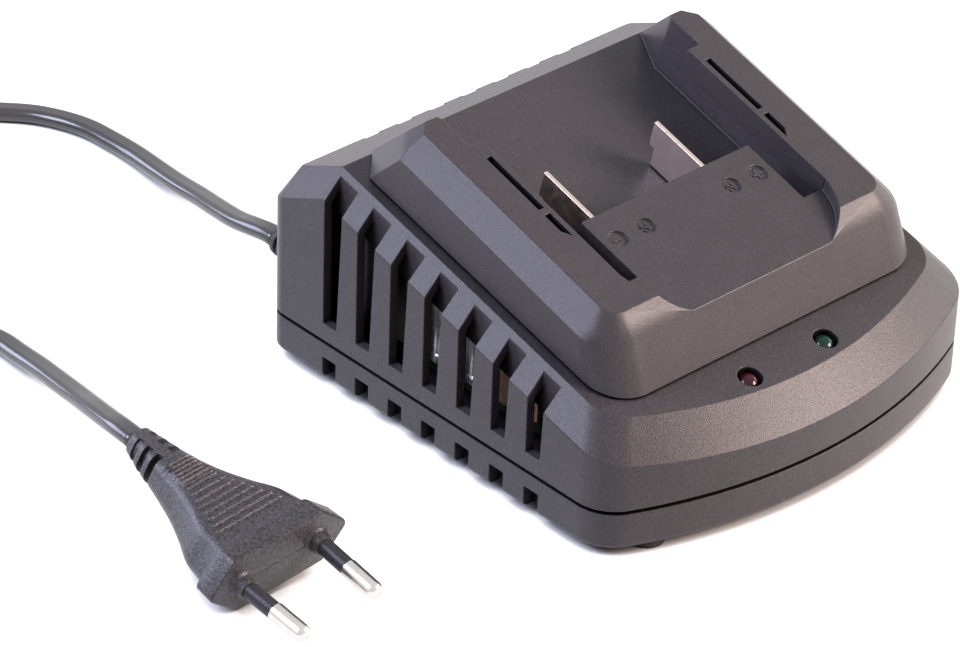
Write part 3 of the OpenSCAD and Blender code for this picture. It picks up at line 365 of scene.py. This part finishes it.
MATERIALS = {
    "contact_carrier": moulded("carrier_black", (0.02, 0.02, 0.022)),
    "lamp_spacers": moulded("nylon_white", (0.55, 0.53, 0.50)),
    # The board's green is darkened far below a real board's, as painted shade inside the housing
    "circuit_board": moulded("board_green_painted_shade", (0.005, 0.020, 0.009), rough=0.4, grain_mm=1.2,
                             grain_depth_mm=0.01, mottle=0.2),
    "transformer_core": moulded("ferrite_grey", (0.045, 0.045, 0.05), rough=0.35, grain_mm=0.2),
    "transformer_winding": moulded("tape_yellow", (0.62, 0.45, 0.06), rough=0.3, grain_mm=3.0,
                                   grain_depth_mm=0.02),
    "mains_capacitor": moulded("sleeve_dark", (0.02, 0.02, 0.035), rough=0.25),
    "output_capacitor": metal("can_aluminium", (0.85, 0.85, 0.87), rough=0.3),
    "film_capacitor": moulded("film_box_tan", (0.24, 0.17, 0.09), rough=0.35),
    "line_choke": moulded("enamel_copper", (0.42, 0.15, 0.05), rough=0.25, grain_mm=0.8, grain_depth_mm=0.2),
    "fuse": moulded("fuse_ceramic", (0.70, 0.66, 0.55), rough=0.3),
    "bridge_rectifier": moulded("epoxy_black", (0.02, 0.02, 0.02), rough=0.4),
    "heat_sink": metal("sink_aluminium", (0.75, 0.76, 0.78), rough=0.4, brush=(1, 1, 0.1)),
    "power_transistor": moulded("epoxy_black_two", (0.02, 0.02, 0.02), rough=0.4),
    "ceramic_resistor": moulded("ceramic_tan", (0.52, 0.33, 0.18), rough=0.6),
    "disc_capacitor": moulded("disc_blue", (0.06, 0.18, 0.42), rough=0.25),
    "controller_chip": moulded("epoxy_black_three", (0.02, 0.02, 0.02), rough=0.4),
    "output_leads": moulded("wire_red", (0.35, 0.02, 0.02), rough=0.3),
    "mains_leads": moulded("wire_brown", (0.16, 0.07, 0.03), rough=0.3),
    "housing_screws": metal("zinc_screw", (0.6, 0.6, 0.62), rough=0.35),
    "dock_screws": metal("zinc_screw_two", (0.6, 0.6, 0.62), rough=0.35),
    "board_screws": metal("zinc_screw_three", (0.6, 0.6, 0.62), rough=0.35),
    "rubber_feet": moulded("foot_rubber", (0.03, 0.03, 0.03), rough=0.6),
    "coil_tie": moulded("tie_black", (0.02, 0.02, 0.02), rough=0.6, grain_mm=0.8, grain_depth_mm=0.12),
    "plug_insert": moulded("plug_insert_pvc", (0.06, 0.06, 0.062), rough=0.45),
}
for node, material in MATERIALS.items():
    dress_node(node, material)

# ---- the housing's parts, with the small radii that a mould leaves on hard edges ----

# Points closer than WELD_MM are one, faces within FLAT_ENOUGH are one, and edges over HARD_EDGE are rounded
WELD_MM = 0.002
FLAT_ENOUGH = math.radians(0.6)
HARD_EDGE = math.radians(28)
SHELL_EDGE_MM = 0.2
BLADE_EDGE_MM = 0.12


def softened(node, radius_mm, material, slot):
    """A copy of a CAD node with its hard edges rounded."""
    mesh = bmesh.new()
    mesh.from_mesh(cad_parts[node].data)
    bmesh.ops.remove_doubles(mesh, verts=mesh.verts, dist=WELD_MM * MM)
    bmesh.ops.dissolve_limit(mesh, angle_limit=FLAT_ENOUGH, verts=mesh.verts, edges=mesh.edges)
    piece = add_piece(node + "_softened", [], [], material, slot)
    mesh.to_mesh(piece.data)
    mesh.free()
    piece.data.shade_smooth()
    edge = piece.modifiers.new("edge", "BEVEL")
    edge.width = radius_mm * MM
    edge.segments = 2
    edge.limit_method = "ANGLE"
    edge.angle_limit = HARD_EDGE
    edge.use_clamp_overlap = False
    flat = piece.modifiers.new("flat", "WEIGHTED_NORMAL")
    flat.mode = "FACE_AREA"
    flat.weight = 100
    settle(piece)
    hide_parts(node)


softened("base_housing", SHELL_EDGE_MM, LOWER_SHELL, "housing_lower")
softened("top_housing", SHELL_EDGE_MM, UPPER_SHELL, "housing_upper")
softened("battery_dock", SHELL_EDGE_MM, DOCK_SHELL, "dock")
softened("blade_negative", BLADE_EDGE_MM, BLADE_METAL, "blade")
softened("blade_positive", BLADE_EDGE_MM, BLADE_METAL, "blade")

# ---- the round marks of the contact block: polarity signs in the outer two, rough bars in the inner two ----

RIM_Z = 54.2
DOCK_SLOPE = math.radians(16.7)
DOCK_FRAME = Matrix.Translation((0, 0, RIM_Z * MM)) @ Matrix.Rotation(DOCK_SLOPE, 4, "X")
MARK_X = 19.7
MARK_Y = -14.4
MARK_Z = -3.5
INNER_MARK_X = 12.1
SIGN_LEN = 2.3
SIGN_W = 0.42
SIGN_H = 0.3
# The rough bars' places in their mark and their turns: x, y, degrees
SPECKS = [(-0.75, 0.45, 35), (0.1, -0.15, -20), (0.7, 0.6, 80), (0.55, -0.8, 15), (-0.6, -0.75, 100)]
SPECK_LEN = 0.8
BAR_WALL = 0.6
BAR_CHAMFER = 0.25


def bar(place, length, width, height):
    """A flat bar with chamfered upper edges, in mm, centred on the place."""
    rings = []
    for grow, z in ((0, 0), (0, height * BAR_WALL), (-width * BAR_CHAMFER, height)):
        x, y = length / 2 + grow, width / 2 + grow
        rings.append([place @ (Vector(p) * MM) for p in ((x, y, z), (-x, y, z), (-x, -y, z), (x, -y, z))])
    return skin(rings[::-1])


def mark_place(x, y, turn):
    """A place on the floor of the round marks, turned about the dock's normal."""
    return DOCK_FRAME @ Matrix.Translation(Vector((x, y, MARK_Z)) * MM) @ Matrix.Rotation(turn, 4, "Z")


def polarity_signs():
    """A raised minus on the left and a raised plus on the right."""
    for name, x, turns in (("sign_minus", -MARK_X, (0,)), ("sign_plus", MARK_X, (0, math.pi / 2))):
        bars = [bar(mark_place(x, MARK_Y, turn), SIGN_LEN, SIGN_W, SIGN_H) for turn in turns]
        add_piece(name, *joined(*bars), DOCK_SHELL, "dock").data.shade_flat()


def rough_marks():
    """Short raised bars that roughen the bottom of the two inner round marks."""
    bars = []
    for side in (-1, 1):
        for x, y, degrees in SPECKS:
            place = mark_place(side * INNER_MARK_X + x, MARK_Y + y, math.radians(degrees))
            bars.append(bar(place, SPECK_LEN, SIGN_W, SIGN_H))
    add_piece("mark_specks", *joined(*bars), DOCK_SHELL, "dock").data.shade_flat()


polarity_signs()
rough_marks()

# ---- the two lamps, domes that fill their holes in the deck ----

DECK_Z = 39.5
DECK_SLOPE = math.radians(15.1)
LAMP_X = {"red_lamp": -12.7, "green_lamp": 8.7}
LAMP_Y = -44.4
LAMP_R = 2.6
LAMP_DOME_R = 2.62
LAMP_TOP = -0.1
LAMP_FOOT = -8.6
LAMP_FOOT_CHAMFER = 0.1
DOME_START = math.radians(89)
LEAD_HALF_GAP = 1.27
LEAD_R = 0.3
LEAD_BACK = 2.2
LEAD_OVERLAP = 1
LEAD_IN_BOARD = 0.2
BOARD_TOP = 9.6


def lamp_lens(node, material):
    """An epoxy body with a domed end, square to the deck, and its two leads down to the board."""
    deck_z = DECK_Z + math.tan(DECK_SLOPE) * LAMP_Y
    deck_at = Vector((LAMP_X[node], LAMP_Y, deck_z))
    place = Matrix.Translation(deck_at * MM) @ Matrix.Rotation(DECK_SLOPE, 4, "X")
    dome_end = math.acos(LAMP_R / LAMP_DOME_R)
    dome = arc(0, LAMP_TOP - LAMP_DOME_R, LAMP_DOME_R, DOME_START, dome_end, 14)
    foot = [(LAMP_R, LAMP_FOOT + LAMP_FOOT_CHAMFER), (LAMP_R - LAMP_FOOT_CHAMFER, LAMP_FOOT)]
    shapes = [lathe(dome + foot, place)]
    lead_top = deck_z + LAMP_FOOT + LEAD_OVERLAP
    lead = [(LEAD_R, lead_top), (LEAD_R, BOARD_TOP - LEAD_IN_BOARD)]
    for x in (-LEAD_HALF_GAP, LEAD_HALF_GAP):
        at = Matrix.Translation(Vector((LAMP_X[node] + x, LAMP_Y + LEAD_BACK, 0)) * MM)
        shapes.append(lathe(lead, at, count=12))
    piece = add_piece(node + "_lens", *joined(*shapes), material, node)
    crease(piece, LAMP_CREASE)
    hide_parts(node)


lamp_lens("red_lamp", lamp_material("red_epoxy", (0.034, 0.001, 0.006)))
lamp_lens("green_lamp", lamp_material("green_epoxy", (0.001, 0.028, 0.016)))

# ---- the plug ----

PLUG_AT = Vector((-106.1, -11.3, 7.9)) * MM
PLUG_TURN = Euler([math.radians(angle) for angle in (6.3, -6.9, -2)])
PLUG_FRAME = Matrix.Translation(PLUG_AT) @ PLUG_TURN.to_matrix().to_4x4()
PLUG_W = 34.4
PLUG_T = 13.2
# Sections from the face to the cord end: distance, width, thickness, slant of the pointed sides,
# rounding, sideways shift and lift
PLUG_HEAD = [
    (0, PLUG_W - 0.8, PLUG_T - 0.8, 6.2, 1.2, 0, 0), (0.15, PLUG_W - 0.25, PLUG_T - 0.25, 6.4, 1.4, 0, 0),
    (0.5, PLUG_W, PLUG_T, 6.4, 1.5, 0, 0), (4.9, PLUG_W - 0.6, PLUG_T, 6.4, 1.5, 0, 0),
    (5.2, PLUG_W - 1.2, PLUG_T - 0.2, 6.2, 1.6, 0, 0),
]
PLUG_SHANK = [
    (5.7, PLUG_W - 3.4, PLUG_T - 0.4, 5.5, 3, -0.2, 0), (8, PLUG_W - 4.4, PLUG_T - 0.8, 5.5, 3, -0.3, 0),
    (12, PLUG_W - 6.4, PLUG_T - 1.2, 5, 3, -0.4, 0), (17, 23, 11.4, 4.6, 3, -0.6, 0),
    (23, 17.8, 10.6, 4, 3, -0.8, 0), (29, 14, 9.6, 3.4, 3, -0.9, 0), (33, 12, 8.8, 3, 2.6, -0.8, 0),
    (38, 10.2, 7.9, 2.6, 2.3, -0.5, -0.2), (44.2, 7.5, 6.4, 2, 2, 0.2, -0.6),
]
PLUG_TIP = [(44.5, 6.8, 5.8, 1.8, 1.8, 0.2, -0.6)]
SHANK_STEP = 0.6
LONG_RIBS = [8.9 + 1.97 * i for i in range(8)]
SHORT_RIBS = [24.6 + 1.17 * i for i in range(6)]
RIB_H = 0.42
RIB_HALF_W = 0.4
RIB_CREST = 0.3
SHORT_RIB_HALF_W = 0.44
PAD_H = 0.28
PAD_START = 23.6
PAD_END = 31.4
PAD_RISE = 0.2
PAD_FALL = 0.3
# The grip's half width at its first long rib, how much of it is gone at the last one, and its fading ends
GRIP_HALF_W = 7.8
GRIP_NARROWING = 4.6
GRIP_END_IN = 0.1
GRIP_END_OUT = 0.3
# The grip lies on the flat faces only: it fades between these depths below them
GRIP_FADE_DEEP = 1.2
GRIP_FADE_SHALLOW = 0.4
STATION_GAP = 0.02
RELIEF_AT = [41.1, 37.7, 34.3]
RELIEF_W = 1.9
RELIEF_CORE_R = 3.1
RELIEF_BRIDGE_W = 2.2
RELIEF_REACH = 8
PIN_HALF_GAP = 9.3
PIN_LEAN = math.radians(1.66)
PIN_R = 2.0
PIN_LEN = 19.0
PIN_TIP_R = 1.6
PIN_TIP_FLAT_R = 0.05
# How far the edge at the bare pin's foot is taken back, inwards and along the pin
PIN_FOOT_EDGE = (0.12, 0.05)
PIN_CORE_R = 0.5
SLEEVE_R = 1.8
SLEEVE_MOUTH_R = 1.5
SLEEVE_START = 2.0
SLEEVE_END = 10.0
# Two points of the sleeve's rounded end edge, inwards and along the pin from its corner
SLEEVE_EDGE = ((0.05, 0.02), (0, 0.15))
# Radius and height of the collar's outline, and length, width and height of the parting line
COLLAR = [(1.7, 2.45), (2.1, 2.4), (2.22, 2.2), (2.35, 0.7), (2.6, 0.25), (3.1, 0), (3.1, -0.6),
          (PIN_CORE_R, -0.6)]
PARTING_LINE = (24, 0.16, 0.09)


def smooth_step(low, high, value):
    """0 below low, 1 above high and an even curve between."""
    t = min(max((value - low) / (high - low), 0), 1)
    return t * t * (3 - 2 * t)


def between_rows(rows, y):
    """The row at y on a smooth line through the rows."""
    k = next((i for i in range(len(rows) - 2) if y < rows[i + 1][0]), len(rows) - 2)
    a, b = rows[k], rows[k + 1]
    before, after = rows[max(k - 1, 0)], rows[min(k + 2, len(rows) - 1)]
    span = b[0] - a[0]
    t = (y - a[0]) / span
    row = [y]
    for p, q, r, s in zip(before[1:], a[1:], b[1:], after[1:]):
        out = (r - p) / (b[0] - before[0]) * span
        into = (s - q) / (after[0] - a[0]) * span
        row.append((2 * t ** 3 - 3 * t ** 2 + 1) * q + (t ** 3 - 2 * t ** 2 + t) * out
                   + (3 * t ** 2 - 2 * t ** 3) * r + (t ** 3 - t ** 2) * into)
    return row


def grip_height(x, y):
    """How far the grip's ribs and pad stand above the plug's flat face."""
    along = min(max((y - LONG_RIBS[0]) / (LONG_RIBS[-1] - LONG_RIBS[0]), 0), 1)
    half = GRIP_HALF_W - GRIP_NARROWING * along
    inside = 1 - smooth_step(half - GRIP_END_IN, half + GRIP_END_OUT, abs(x))
    ribs = [min((1 - abs(y - at) / half) / (1 - RIB_CREST), 1) for at, half in plug_ribs()]
    pad = smooth_step(PAD_START - PAD_RISE, PAD_START, y) * (1 - smooth_step(PAD_END, PAD_END + PAD_FALL, y))
    return inside * (RIB_H * max(0, *ribs) + PAD_H * pad)


def plug_ribs():
    """Middle and half width of each rib across the grip."""
    return [(at, RIB_HALF_W) for at in LONG_RIBS] + [(at, SHORT_RIB_HALF_W) for at in SHORT_RIBS]


def shank_stations():
    """Distances of the shank's rings from the face: even steps, and the feet and crests of the ribs."""
    first, last = PLUG_SHANK[0][0], PLUG_SHANK[-1][0]
    steps = round((last - first) / SHANK_STEP)
    stations = [first + (last - first) * i / steps for i in range(steps + 1)]
    for at, half in plug_ribs():
        stations = [y for y in stations if abs(y - at) > half + STATION_GAP]
        stations += [at - half, at - half * RIB_CREST, at + half * RIB_CREST, at + half]
    return sorted(stations + [PAD_START - PAD_RISE, PAD_START, PAD_END, PAD_END + PAD_FALL])


def plug_ring(row, flat_points=44):
    """One section of the plug as a ring: pointed at the sides, flat above and below, with the grip."""
    y, w, t, slant, r, shift, lift = row
    w, t = w / 2, t / 2
    a = math.atan2(slant, t)
    side_x = w - r / math.cos(a)
    top_z = t - r
    top_x = (w * math.cos(a) - r - top_z * math.sin(a)) / math.cos(a)
    side = arc(side_x, 0, r, 0, a, 5) + arc(top_x, top_z, r, a, math.pi / 2, 5)
    flat = [(top_x - 2 * top_x * (k + 1) / (flat_points + 1), t) for k in range(flat_points)]
    upper = side + flat + [(-x, z) for x, z in reversed(side)]
    low, high = t - GRIP_FADE_DEEP, t - GRIP_FADE_SHALLOW
    upper = [(x, z + grip_height(x, y) * smooth_step(low, high, z)) for x, z in upper]
    lower = [(x, -z) for x, z in reversed(upper)][1:-1]
    return [PLUG_FRAME @ (Vector((shift + x, y, lift + z)) * MM) for x, z in upper + lower]


def relief_cutters():
    """Half rings that leave a bridge above and below the cord's core."""
    edge = RELIEF_BRIDGE_W / 2
    inner_a = math.acos(edge / RELIEF_CORE_R)
    half_ring = [(RELIEF_REACH, -RELIEF_REACH), (RELIEF_REACH, RELIEF_REACH), (edge, RELIEF_REACH)]
    half_ring += arc(0, 0, RELIEF_CORE_R, inner_a, -inner_a, 14) + [(edge, -RELIEF_REACH)]
    shapes = []
    for at in RELIEF_AT:
        shift, lift = between_rows(PLUG_SHANK, at)[5:]
        for side in (-1, 1):
            outline = [(side * x, z) for x, z in half_ring]
            if side < 0:
                outline.reverse()
            rings = []
            for y in (at + RELIEF_W / 2, at - RELIEF_W / 2):
                rings.append([PLUG_FRAME @ (Vector((shift + x, y, lift + z)) * MM) for x, z in outline])
            shapes.append(skin(rings))
    return joined(*shapes)


def pin_place(side):
    """The foot of a pin in the plug's face, its axis leaning towards the other pin."""
    lean = Matrix.Rotation(side * -PIN_LEAN, 4, "Z") @ Matrix.Rotation(math.pi / 2, 4, "X")
    return PLUG_FRAME @ Matrix.Translation(Vector((side * PIN_HALF_GAP, 0, 0)) * MM) @ lean


def both_pins(profile):
    """One turned profile at each of the two pins."""
    return joined(*[lathe(profile, pin_place(side)) for side in (-1, 1)])


def plug_moulding():
    """The soft body, with its grip and the slots of its bend relief."""
    rows = [between_rows(PLUG_SHANK, y) for y in shank_stations()]
    rings = [plug_ring(row) for row in PLUG_HEAD + rows + PLUG_TIP]
    piece = add_piece("plug_moulding", *skin(rings), PLUG_PVC, "plug")
    tool = add_piece("plug_cutter", *relief_cutters(), PLUG_PVC)
    cut = piece.modifiers.new("relief", "BOOLEAN")
    cut.object = tool
    cut.solver = "EXACT"
    settle(piece)
    bpy.data.objects.remove(tool)
    piece.data.shade_smooth()
    crease(piece, MOULDED_CREASE)
    return piece


def plug_collars():
    """The collars at the pins' feet, and the parting line across the face."""
    line = bar(PLUG_FRAME @ Matrix.Rotation(math.pi / 2, 4, "X"), *PARTING_LINE)
    piece = add_piece("plug_collars", *joined(line, both_pins(COLLAR)), PLUG_PVC, "plug")
    crease(piece, TURNED_CREASE)
    return piece


def plug_pins():
    """The bare pins and the sleeves that cover their feet."""
    tip_middle = PIN_LEN - PIN_TIP_R
    tip = arc(PIN_R - PIN_TIP_R, tip_middle, PIN_TIP_R, math.pi / 2, 0, 10)
    pin = [(PIN_TIP_FLAT_R, PIN_LEN)] + tip
    pin += [(PIN_R, SLEEVE_END + PIN_FOOT_EDGE[1]), (PIN_R - PIN_FOOT_EDGE[0], SLEEVE_END)]
    pin += [(PIN_CORE_R, SLEEVE_END)]
    sleeve = [(SLEEVE_MOUTH_R, SLEEVE_END)] + [(SLEEVE_R - x, SLEEVE_END - z) for x, z in SLEEVE_EDGE]
    sleeve += [(SLEEVE_R, SLEEVE_START), (PIN_CORE_R, SLEEVE_START)]
    pins = add_piece("pins_turned", *both_pins(pin), PIN_NICKEL)
    sleeves = add_piece("sleeves_turned", *both_pins(sleeve), SLEEVE_BLACK)
    for turned in (pins, sleeves):
        crease(turned, TURNED_CREASE)
    return pins, sleeves


def plug():
    """The whole plug, in place of its CAD nodes."""
    moulding = plug_moulding()
    collars = plug_collars()
    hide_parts("plug_body")
    pins, sleeves = plug_pins()
    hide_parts("plug_pins")
    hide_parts("pin_sleeves")
    return [moulding, collars, pins, sleeves]


PLUG_PIECES = plug()

# ---- the ribbed bend protection at the wall ----

GLAND_AT = Vector((-33.5, 55.8, 11.2)) * MM
GLAND_LEN = 18.0
GLAND_R = 4.8
GLAND_TIP_R = 3.2
GLAND_CORE_R = 0.5
GLAND_SEAT_R = GLAND_R - 1
GLAND_SEAT_LEN = 2.2
GLAND_FLANGE_R = GLAND_R + 0.3
GLAND_INNER_END = 4.6
GLAND_RIBS = 7
GLAND_FIRST_GROOVE = 2.2
GLAND_RIB_PITCH = 2.2
GLAND_GROOVE_W = 0.9
GLAND_GROOVE_DEPTH = 0.8
GLAND_TIP_CHAMFER = 0.4
GLAND_FOOT_CHAMFER = 0.1
# The lip of a groove: its height outside, its width and its height inside
LIP_OUTSIDE = 0.1
LIP_W = 0.12
LIP_INSIDE = 0.15


def gland_radius(z):
    """The cone's radius at z from the wall."""
    return GLAND_R + (GLAND_TIP_R - GLAND_R) * z / GLAND_LEN


def gland():
    """The cone with its grooves, its seat in the wall and its flange inside."""
    tip = gland_radius(GLAND_LEN)
    profile = [(GLAND_CORE_R, GLAND_LEN), (tip - GLAND_TIP_CHAMFER, GLAND_LEN)]
    profile += [(tip, GLAND_LEN - GLAND_TIP_CHAMFER)]
    for i in reversed(range(GLAND_RIBS)):
        foot = GLAND_FIRST_GROOVE + i * GLAND_RIB_PITCH
        top = foot + GLAND_GROOVE_W
        deep = gland_radius(top) - GLAND_GROOVE_DEPTH
        profile += [(gland_radius(top), top + LIP_OUTSIDE), (gland_radius(top) - LIP_W, top)]
        profile += [(deep, top - LIP_INSIDE), (deep, foot + LIP_INSIDE)]
        profile += [(gland_radius(foot) - LIP_W, foot), (gland_radius(foot), foot - LIP_OUTSIDE)]
    profile += [(GLAND_R, GLAND_FOOT_CHAMFER), (GLAND_SEAT_R, 0), (GLAND_SEAT_R, -GLAND_SEAT_LEN)]
    profile += [(GLAND_FLANGE_R, -GLAND_SEAT_LEN), (GLAND_FLANGE_R, -GLAND_INNER_END)]
    profile += [(GLAND_CORE_R, -GLAND_INNER_END)]
    place = Matrix.Translation(GLAND_AT) @ Matrix.Rotation(-math.pi / 2, 4, "X")
    piece = add_piece("gland_ribbed", *lathe(profile, place), GLAND_RUBBER)
    crease(piece, MOULDED_CREASE)
    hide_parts("cord_gland")
    return piece


GLAND_PIECE = gland()

# ---- the mains cord, a flat two-core lead ----

CORD_W = 5.2 * MM
CORD_T = 3.4 * MM
CORD_Z = 1.8
GLAND_END = (-33.5, 73.8, 11.2)
PLUG_END = (-104.87, 32.98, 12.18)
COIL_AT = (-95, 178)
COIL_LOW_Z = 2.2
COIL_HIGH_Z = 5.8
LEAD_ROUTE = [
    (-33.5, 77, 11.2), (-33.5, 82, 10.4), (-33, 88, 9), (-31.5, 96, 7.4), (-29.5, 105, 5.6), (-28, 114, 4),
    (-26.5, 123, 2.8), (-25.3, 133, 2), (-25.4, 141, CORD_Z), (-26, 148, CORD_Z), (-28, 154.5, CORD_Z),
    (-31.5, 161, CORD_Z), (-37, 167, CORD_Z), (-45, 174.5, CORD_Z), (-53, 183, CORD_Z),
    (-59.5, 192, COIL_LOW_Z),
]
TAIL_ROUTE = [
    (-132.8, 178, COIL_HIGH_Z), (-133, 166, 4.6), (-130, 154, 3), (-123.5, 142, CORD_Z), (-114, 129, CORD_Z),
    (-105, 116, CORD_Z), (-97.5, 103, CORD_Z), (-94.5, 92, 2.1), (-95, 84, 2.8), (-96, 76, 4),
    (-97.7, 67.5, 5.6), (-99.8, 58, 7.6), (-101.7, 51, 9.4), (-103.4, 44, 11), (-104.3, 39.5, 11.9),
]
COIL_OUTER_R = 37.8
COIL_INNER_R = 22.2
COIL_IN_TURNS = 3.0
COIL_CLIMB_TURNS = 0.44
COIL_START_DEG = 22
COIL_TURN_POINTS = 16
CORE_DIP = 0.10
CORD_STEP = 1.6 * MM
CORD_DARK = (0.024, 0.023, 0.028)
CORD_LIGHT = (0.034, 0.032, 0.039)


def coil_points():
    """Turns that wind in along the table, climb one layer and wind out on top."""
    total = 2 * COIL_IN_TURNS + COIL_CLIMB_TURNS
    steps = round(total * COIL_TURN_POINTS)
    points = []
    for i in range(1, steps):
        turn = total * i / steps
        inward = min(turn, COIL_IN_TURNS) / COIL_IN_TURNS
        climb = min(max((turn - COIL_IN_TURNS) / COIL_CLIMB_TURNS, 0), 1)
        outward = max(turn - COIL_IN_TURNS - COIL_CLIMB_TURNS, 0) / COIL_IN_TURNS
        r = COIL_OUTER_R - (COIL_OUTER_R - COIL_INNER_R) * (inward - outward)
        a = math.radians(COIL_START_DEG) + 2 * math.pi * turn
        z = COIL_LOW_Z + (COIL_HIGH_Z - COIL_LOW_Z) * climb
        points.append((COIL_AT[0] + r * math.cos(a), COIL_AT[1] + r * math.sin(a), z))
    return points


def flat_section(width, thick):
    """A flat oval with round edges, slightly dipped along the middle, as points (across, up)."""
    r = thick / 2
    straight = width / 2 - r
    half = [(straight + x, z) for x, z in arc(0, 0, r, -math.pi / 2, math.pi / 2, 9)]
    dip = r * (1 - CORE_DIP)
    return half + [(0, dip)] + [(-x, -z) for x, z in half] + [(0, -dip)]


def cord_material():
    """Smooth PVC with a soft gloss and faint scuffs."""
    m = Nodes("cord_pvc")
    scuffs = m.noise(5.0, detail=4.0, rough=0.6)
    colours = m.ramp(scuffs, [(0.35, CORD_DARK), (NOISE_HIGH, CORD_LIGHT)])
    matt = m.spread(scuffs, NOISE_LOW, NOISE_HIGH, 0.20, 0.28)
    ripple = m.bump(m.noise(0.5), distance_mm=0.004, strength=0.5)
    return m.finish(Base_Color=colours, Roughness=matt, Coat_Weight=0.6, Coat_Roughness=0.16, Normal=ripple)


def mains_cord():
    """The whole cord, from the bend protection through the coil to the plug."""
    route = [GLAND_END] + LEAD_ROUTE + coil_points() + TAIL_ROUTE + [PLUG_END]
    line = spline([Vector(p) * MM for p in route], CORD_STEP)
    piece = add_piece("cord", *swept(line, flat_section(CORD_W, CORD_T)), cord_material(), "cord")
    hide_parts("mains_cord", "cord_coil")


mains_cord()

# ---- floor and light ----

FLOOR_GREY = (0.5, 0.5, 0.5)
FLOOR_MOTTLE_MM = 400.0
FLOOR_GLOW = 0.95
FLOOR_REACH = 60
# Painted contact shadow: the floor's own glow fades where something stands close over it, so that the lit
# floor's real shadow shows there
CONTACT_REACH_MM = 12
CONTACT_DARK = 0.28
CONTACT_CLEAR = 0.5
SKY_FILL = 0.04
SKY_SEEN = 1.0
AIM = Vector((0, 0, 0.03))
LAMP_DISTANCE = 1.2
LAMP_SIZE = 0.55
# Softboxes around the charger: name, direction from it, power in watts and colour
LAMPS = [
    ("left_softbox", (-0.67, 0.26, 0.67), 12.6, (0.77, 0.77, 1.0)),
    ("back_softbox", (-0.42, 0.84, 0.34), 7.1, (0.75, 0.74, 1.0)),
    ("front_softbox", (0.58, -0.69, 0.43), 23.5, (1.0, 0.79, 0.72)),
    ("right_softbox", (0.93, -0.18, 0.26), 3.0, (0.95, 1.0, 1.0)),
]


def seen_directly(tree):
    """1 for what the camera, a mirror or glass shows, and 0 for light that reaches a dull surface."""
    rays = tree.nodes.new("ShaderNodeLightPath")
    total = rays.outputs["Is Camera Ray"]
    for name in ("Is Glossy Ray", "Is Transmission Ray"):
        both = tree.nodes.new("ShaderNodeMath")
        both.operation = "MAXIMUM"
        tree.links.new(total, both.inputs[0])
        tree.links.new(rays.outputs[name], both.inputs[1])
        total = both.outputs["Value"]
    return total


def white_floor():
    """A pale floor that the camera sees as white, with a painted contact shadow where its glow fades under
    the object, so that the object's shadow shows.
    """
    corners = [(x * FLOOR_REACH, y * FLOOR_REACH, 0) for x, y in ((-1, -1), (1, -1), (1, 1), (-1, 1))]
    m = Nodes("white_floor")
    m.finish(Base_Color=m.mottled(m.noise(FLOOR_MOTTLE_MM), FLOOR_GREY, dark=0.98, light=1.02), Roughness=0.9)
    glow = m.add("ShaderNodeEmission")
    # Painted contact shadow: ambient occlusion takes the glow away under the object
    cover = m.add("ShaderNodeAmbientOcclusion", Distance=CONTACT_REACH_MM * MM)
    clear = m.spread(cover.outputs["AO"], CONTACT_DARK, CONTACT_CLEAR, 0, FLOOR_GLOW)
    strength = m.add("ShaderNodeMath")
    strength.operation = "MULTIPLY"
    m.put(strength.inputs[0], seen_directly(m.tree))
    m.put(strength.inputs[1], clear)
    m.put(glow.inputs["Strength"], strength.outputs["Value"])
    both = m.add("ShaderNodeAddShader")
    m.put(both.inputs[0], m.shader.outputs["BSDF"])
    m.put(both.inputs[1], glow.outputs["Emission"])
    m.put(m.tree.nodes["Material Output"].inputs["Surface"], both.outputs["Shader"])
    data = bpy.data.meshes.new("floor")
    data.from_pydata(corners, [], [(0, 1, 2, 3)])
    data.materials.append(m.material)
    floor = bpy.data.objects.new("floor", data)
    bpy.context.scene.collection.objects.link(floor)


def studio():
    """A white surround for what is seen directly, a dim one for the rest, and the softboxes."""
    world = bpy.data.worlds.new("studio")
    world.use_nodes = True
    bpy.context.scene.world = world
    back = world.node_tree.nodes["Background"]
    back.inputs["Color"].default_value = (1, 1, 1, 1)
    level = world.node_tree.nodes.new("ShaderNodeMapRange")
    level.inputs["To Min"].default_value = SKY_FILL
    level.inputs["To Max"].default_value = SKY_SEEN
    world.node_tree.links.new(seen_directly(world.node_tree), level.inputs["Value"])
    world.node_tree.links.new(level.outputs["Result"], back.inputs["Strength"])
    for name, direction, power, colour in LAMPS:
        data = bpy.data.lights.new(name, "AREA")
        data.shape = "SQUARE"
        data.size = LAMP_SIZE
        data.energy = power
        data.color = colour
        lamp = bpy.data.objects.new(name, data)
        lamp.location = AIM + Vector(direction).normalized() * LAMP_DISTANCE
        lamp.rotation_euler = (AIM - lamp.location).to_track_quat("-Z", "Y").to_euler()
        bpy.context.scene.collection.objects.link(lamp)


white_floor()
studio()
bpy.context.scene.view_settings.view_transform = "Standard"
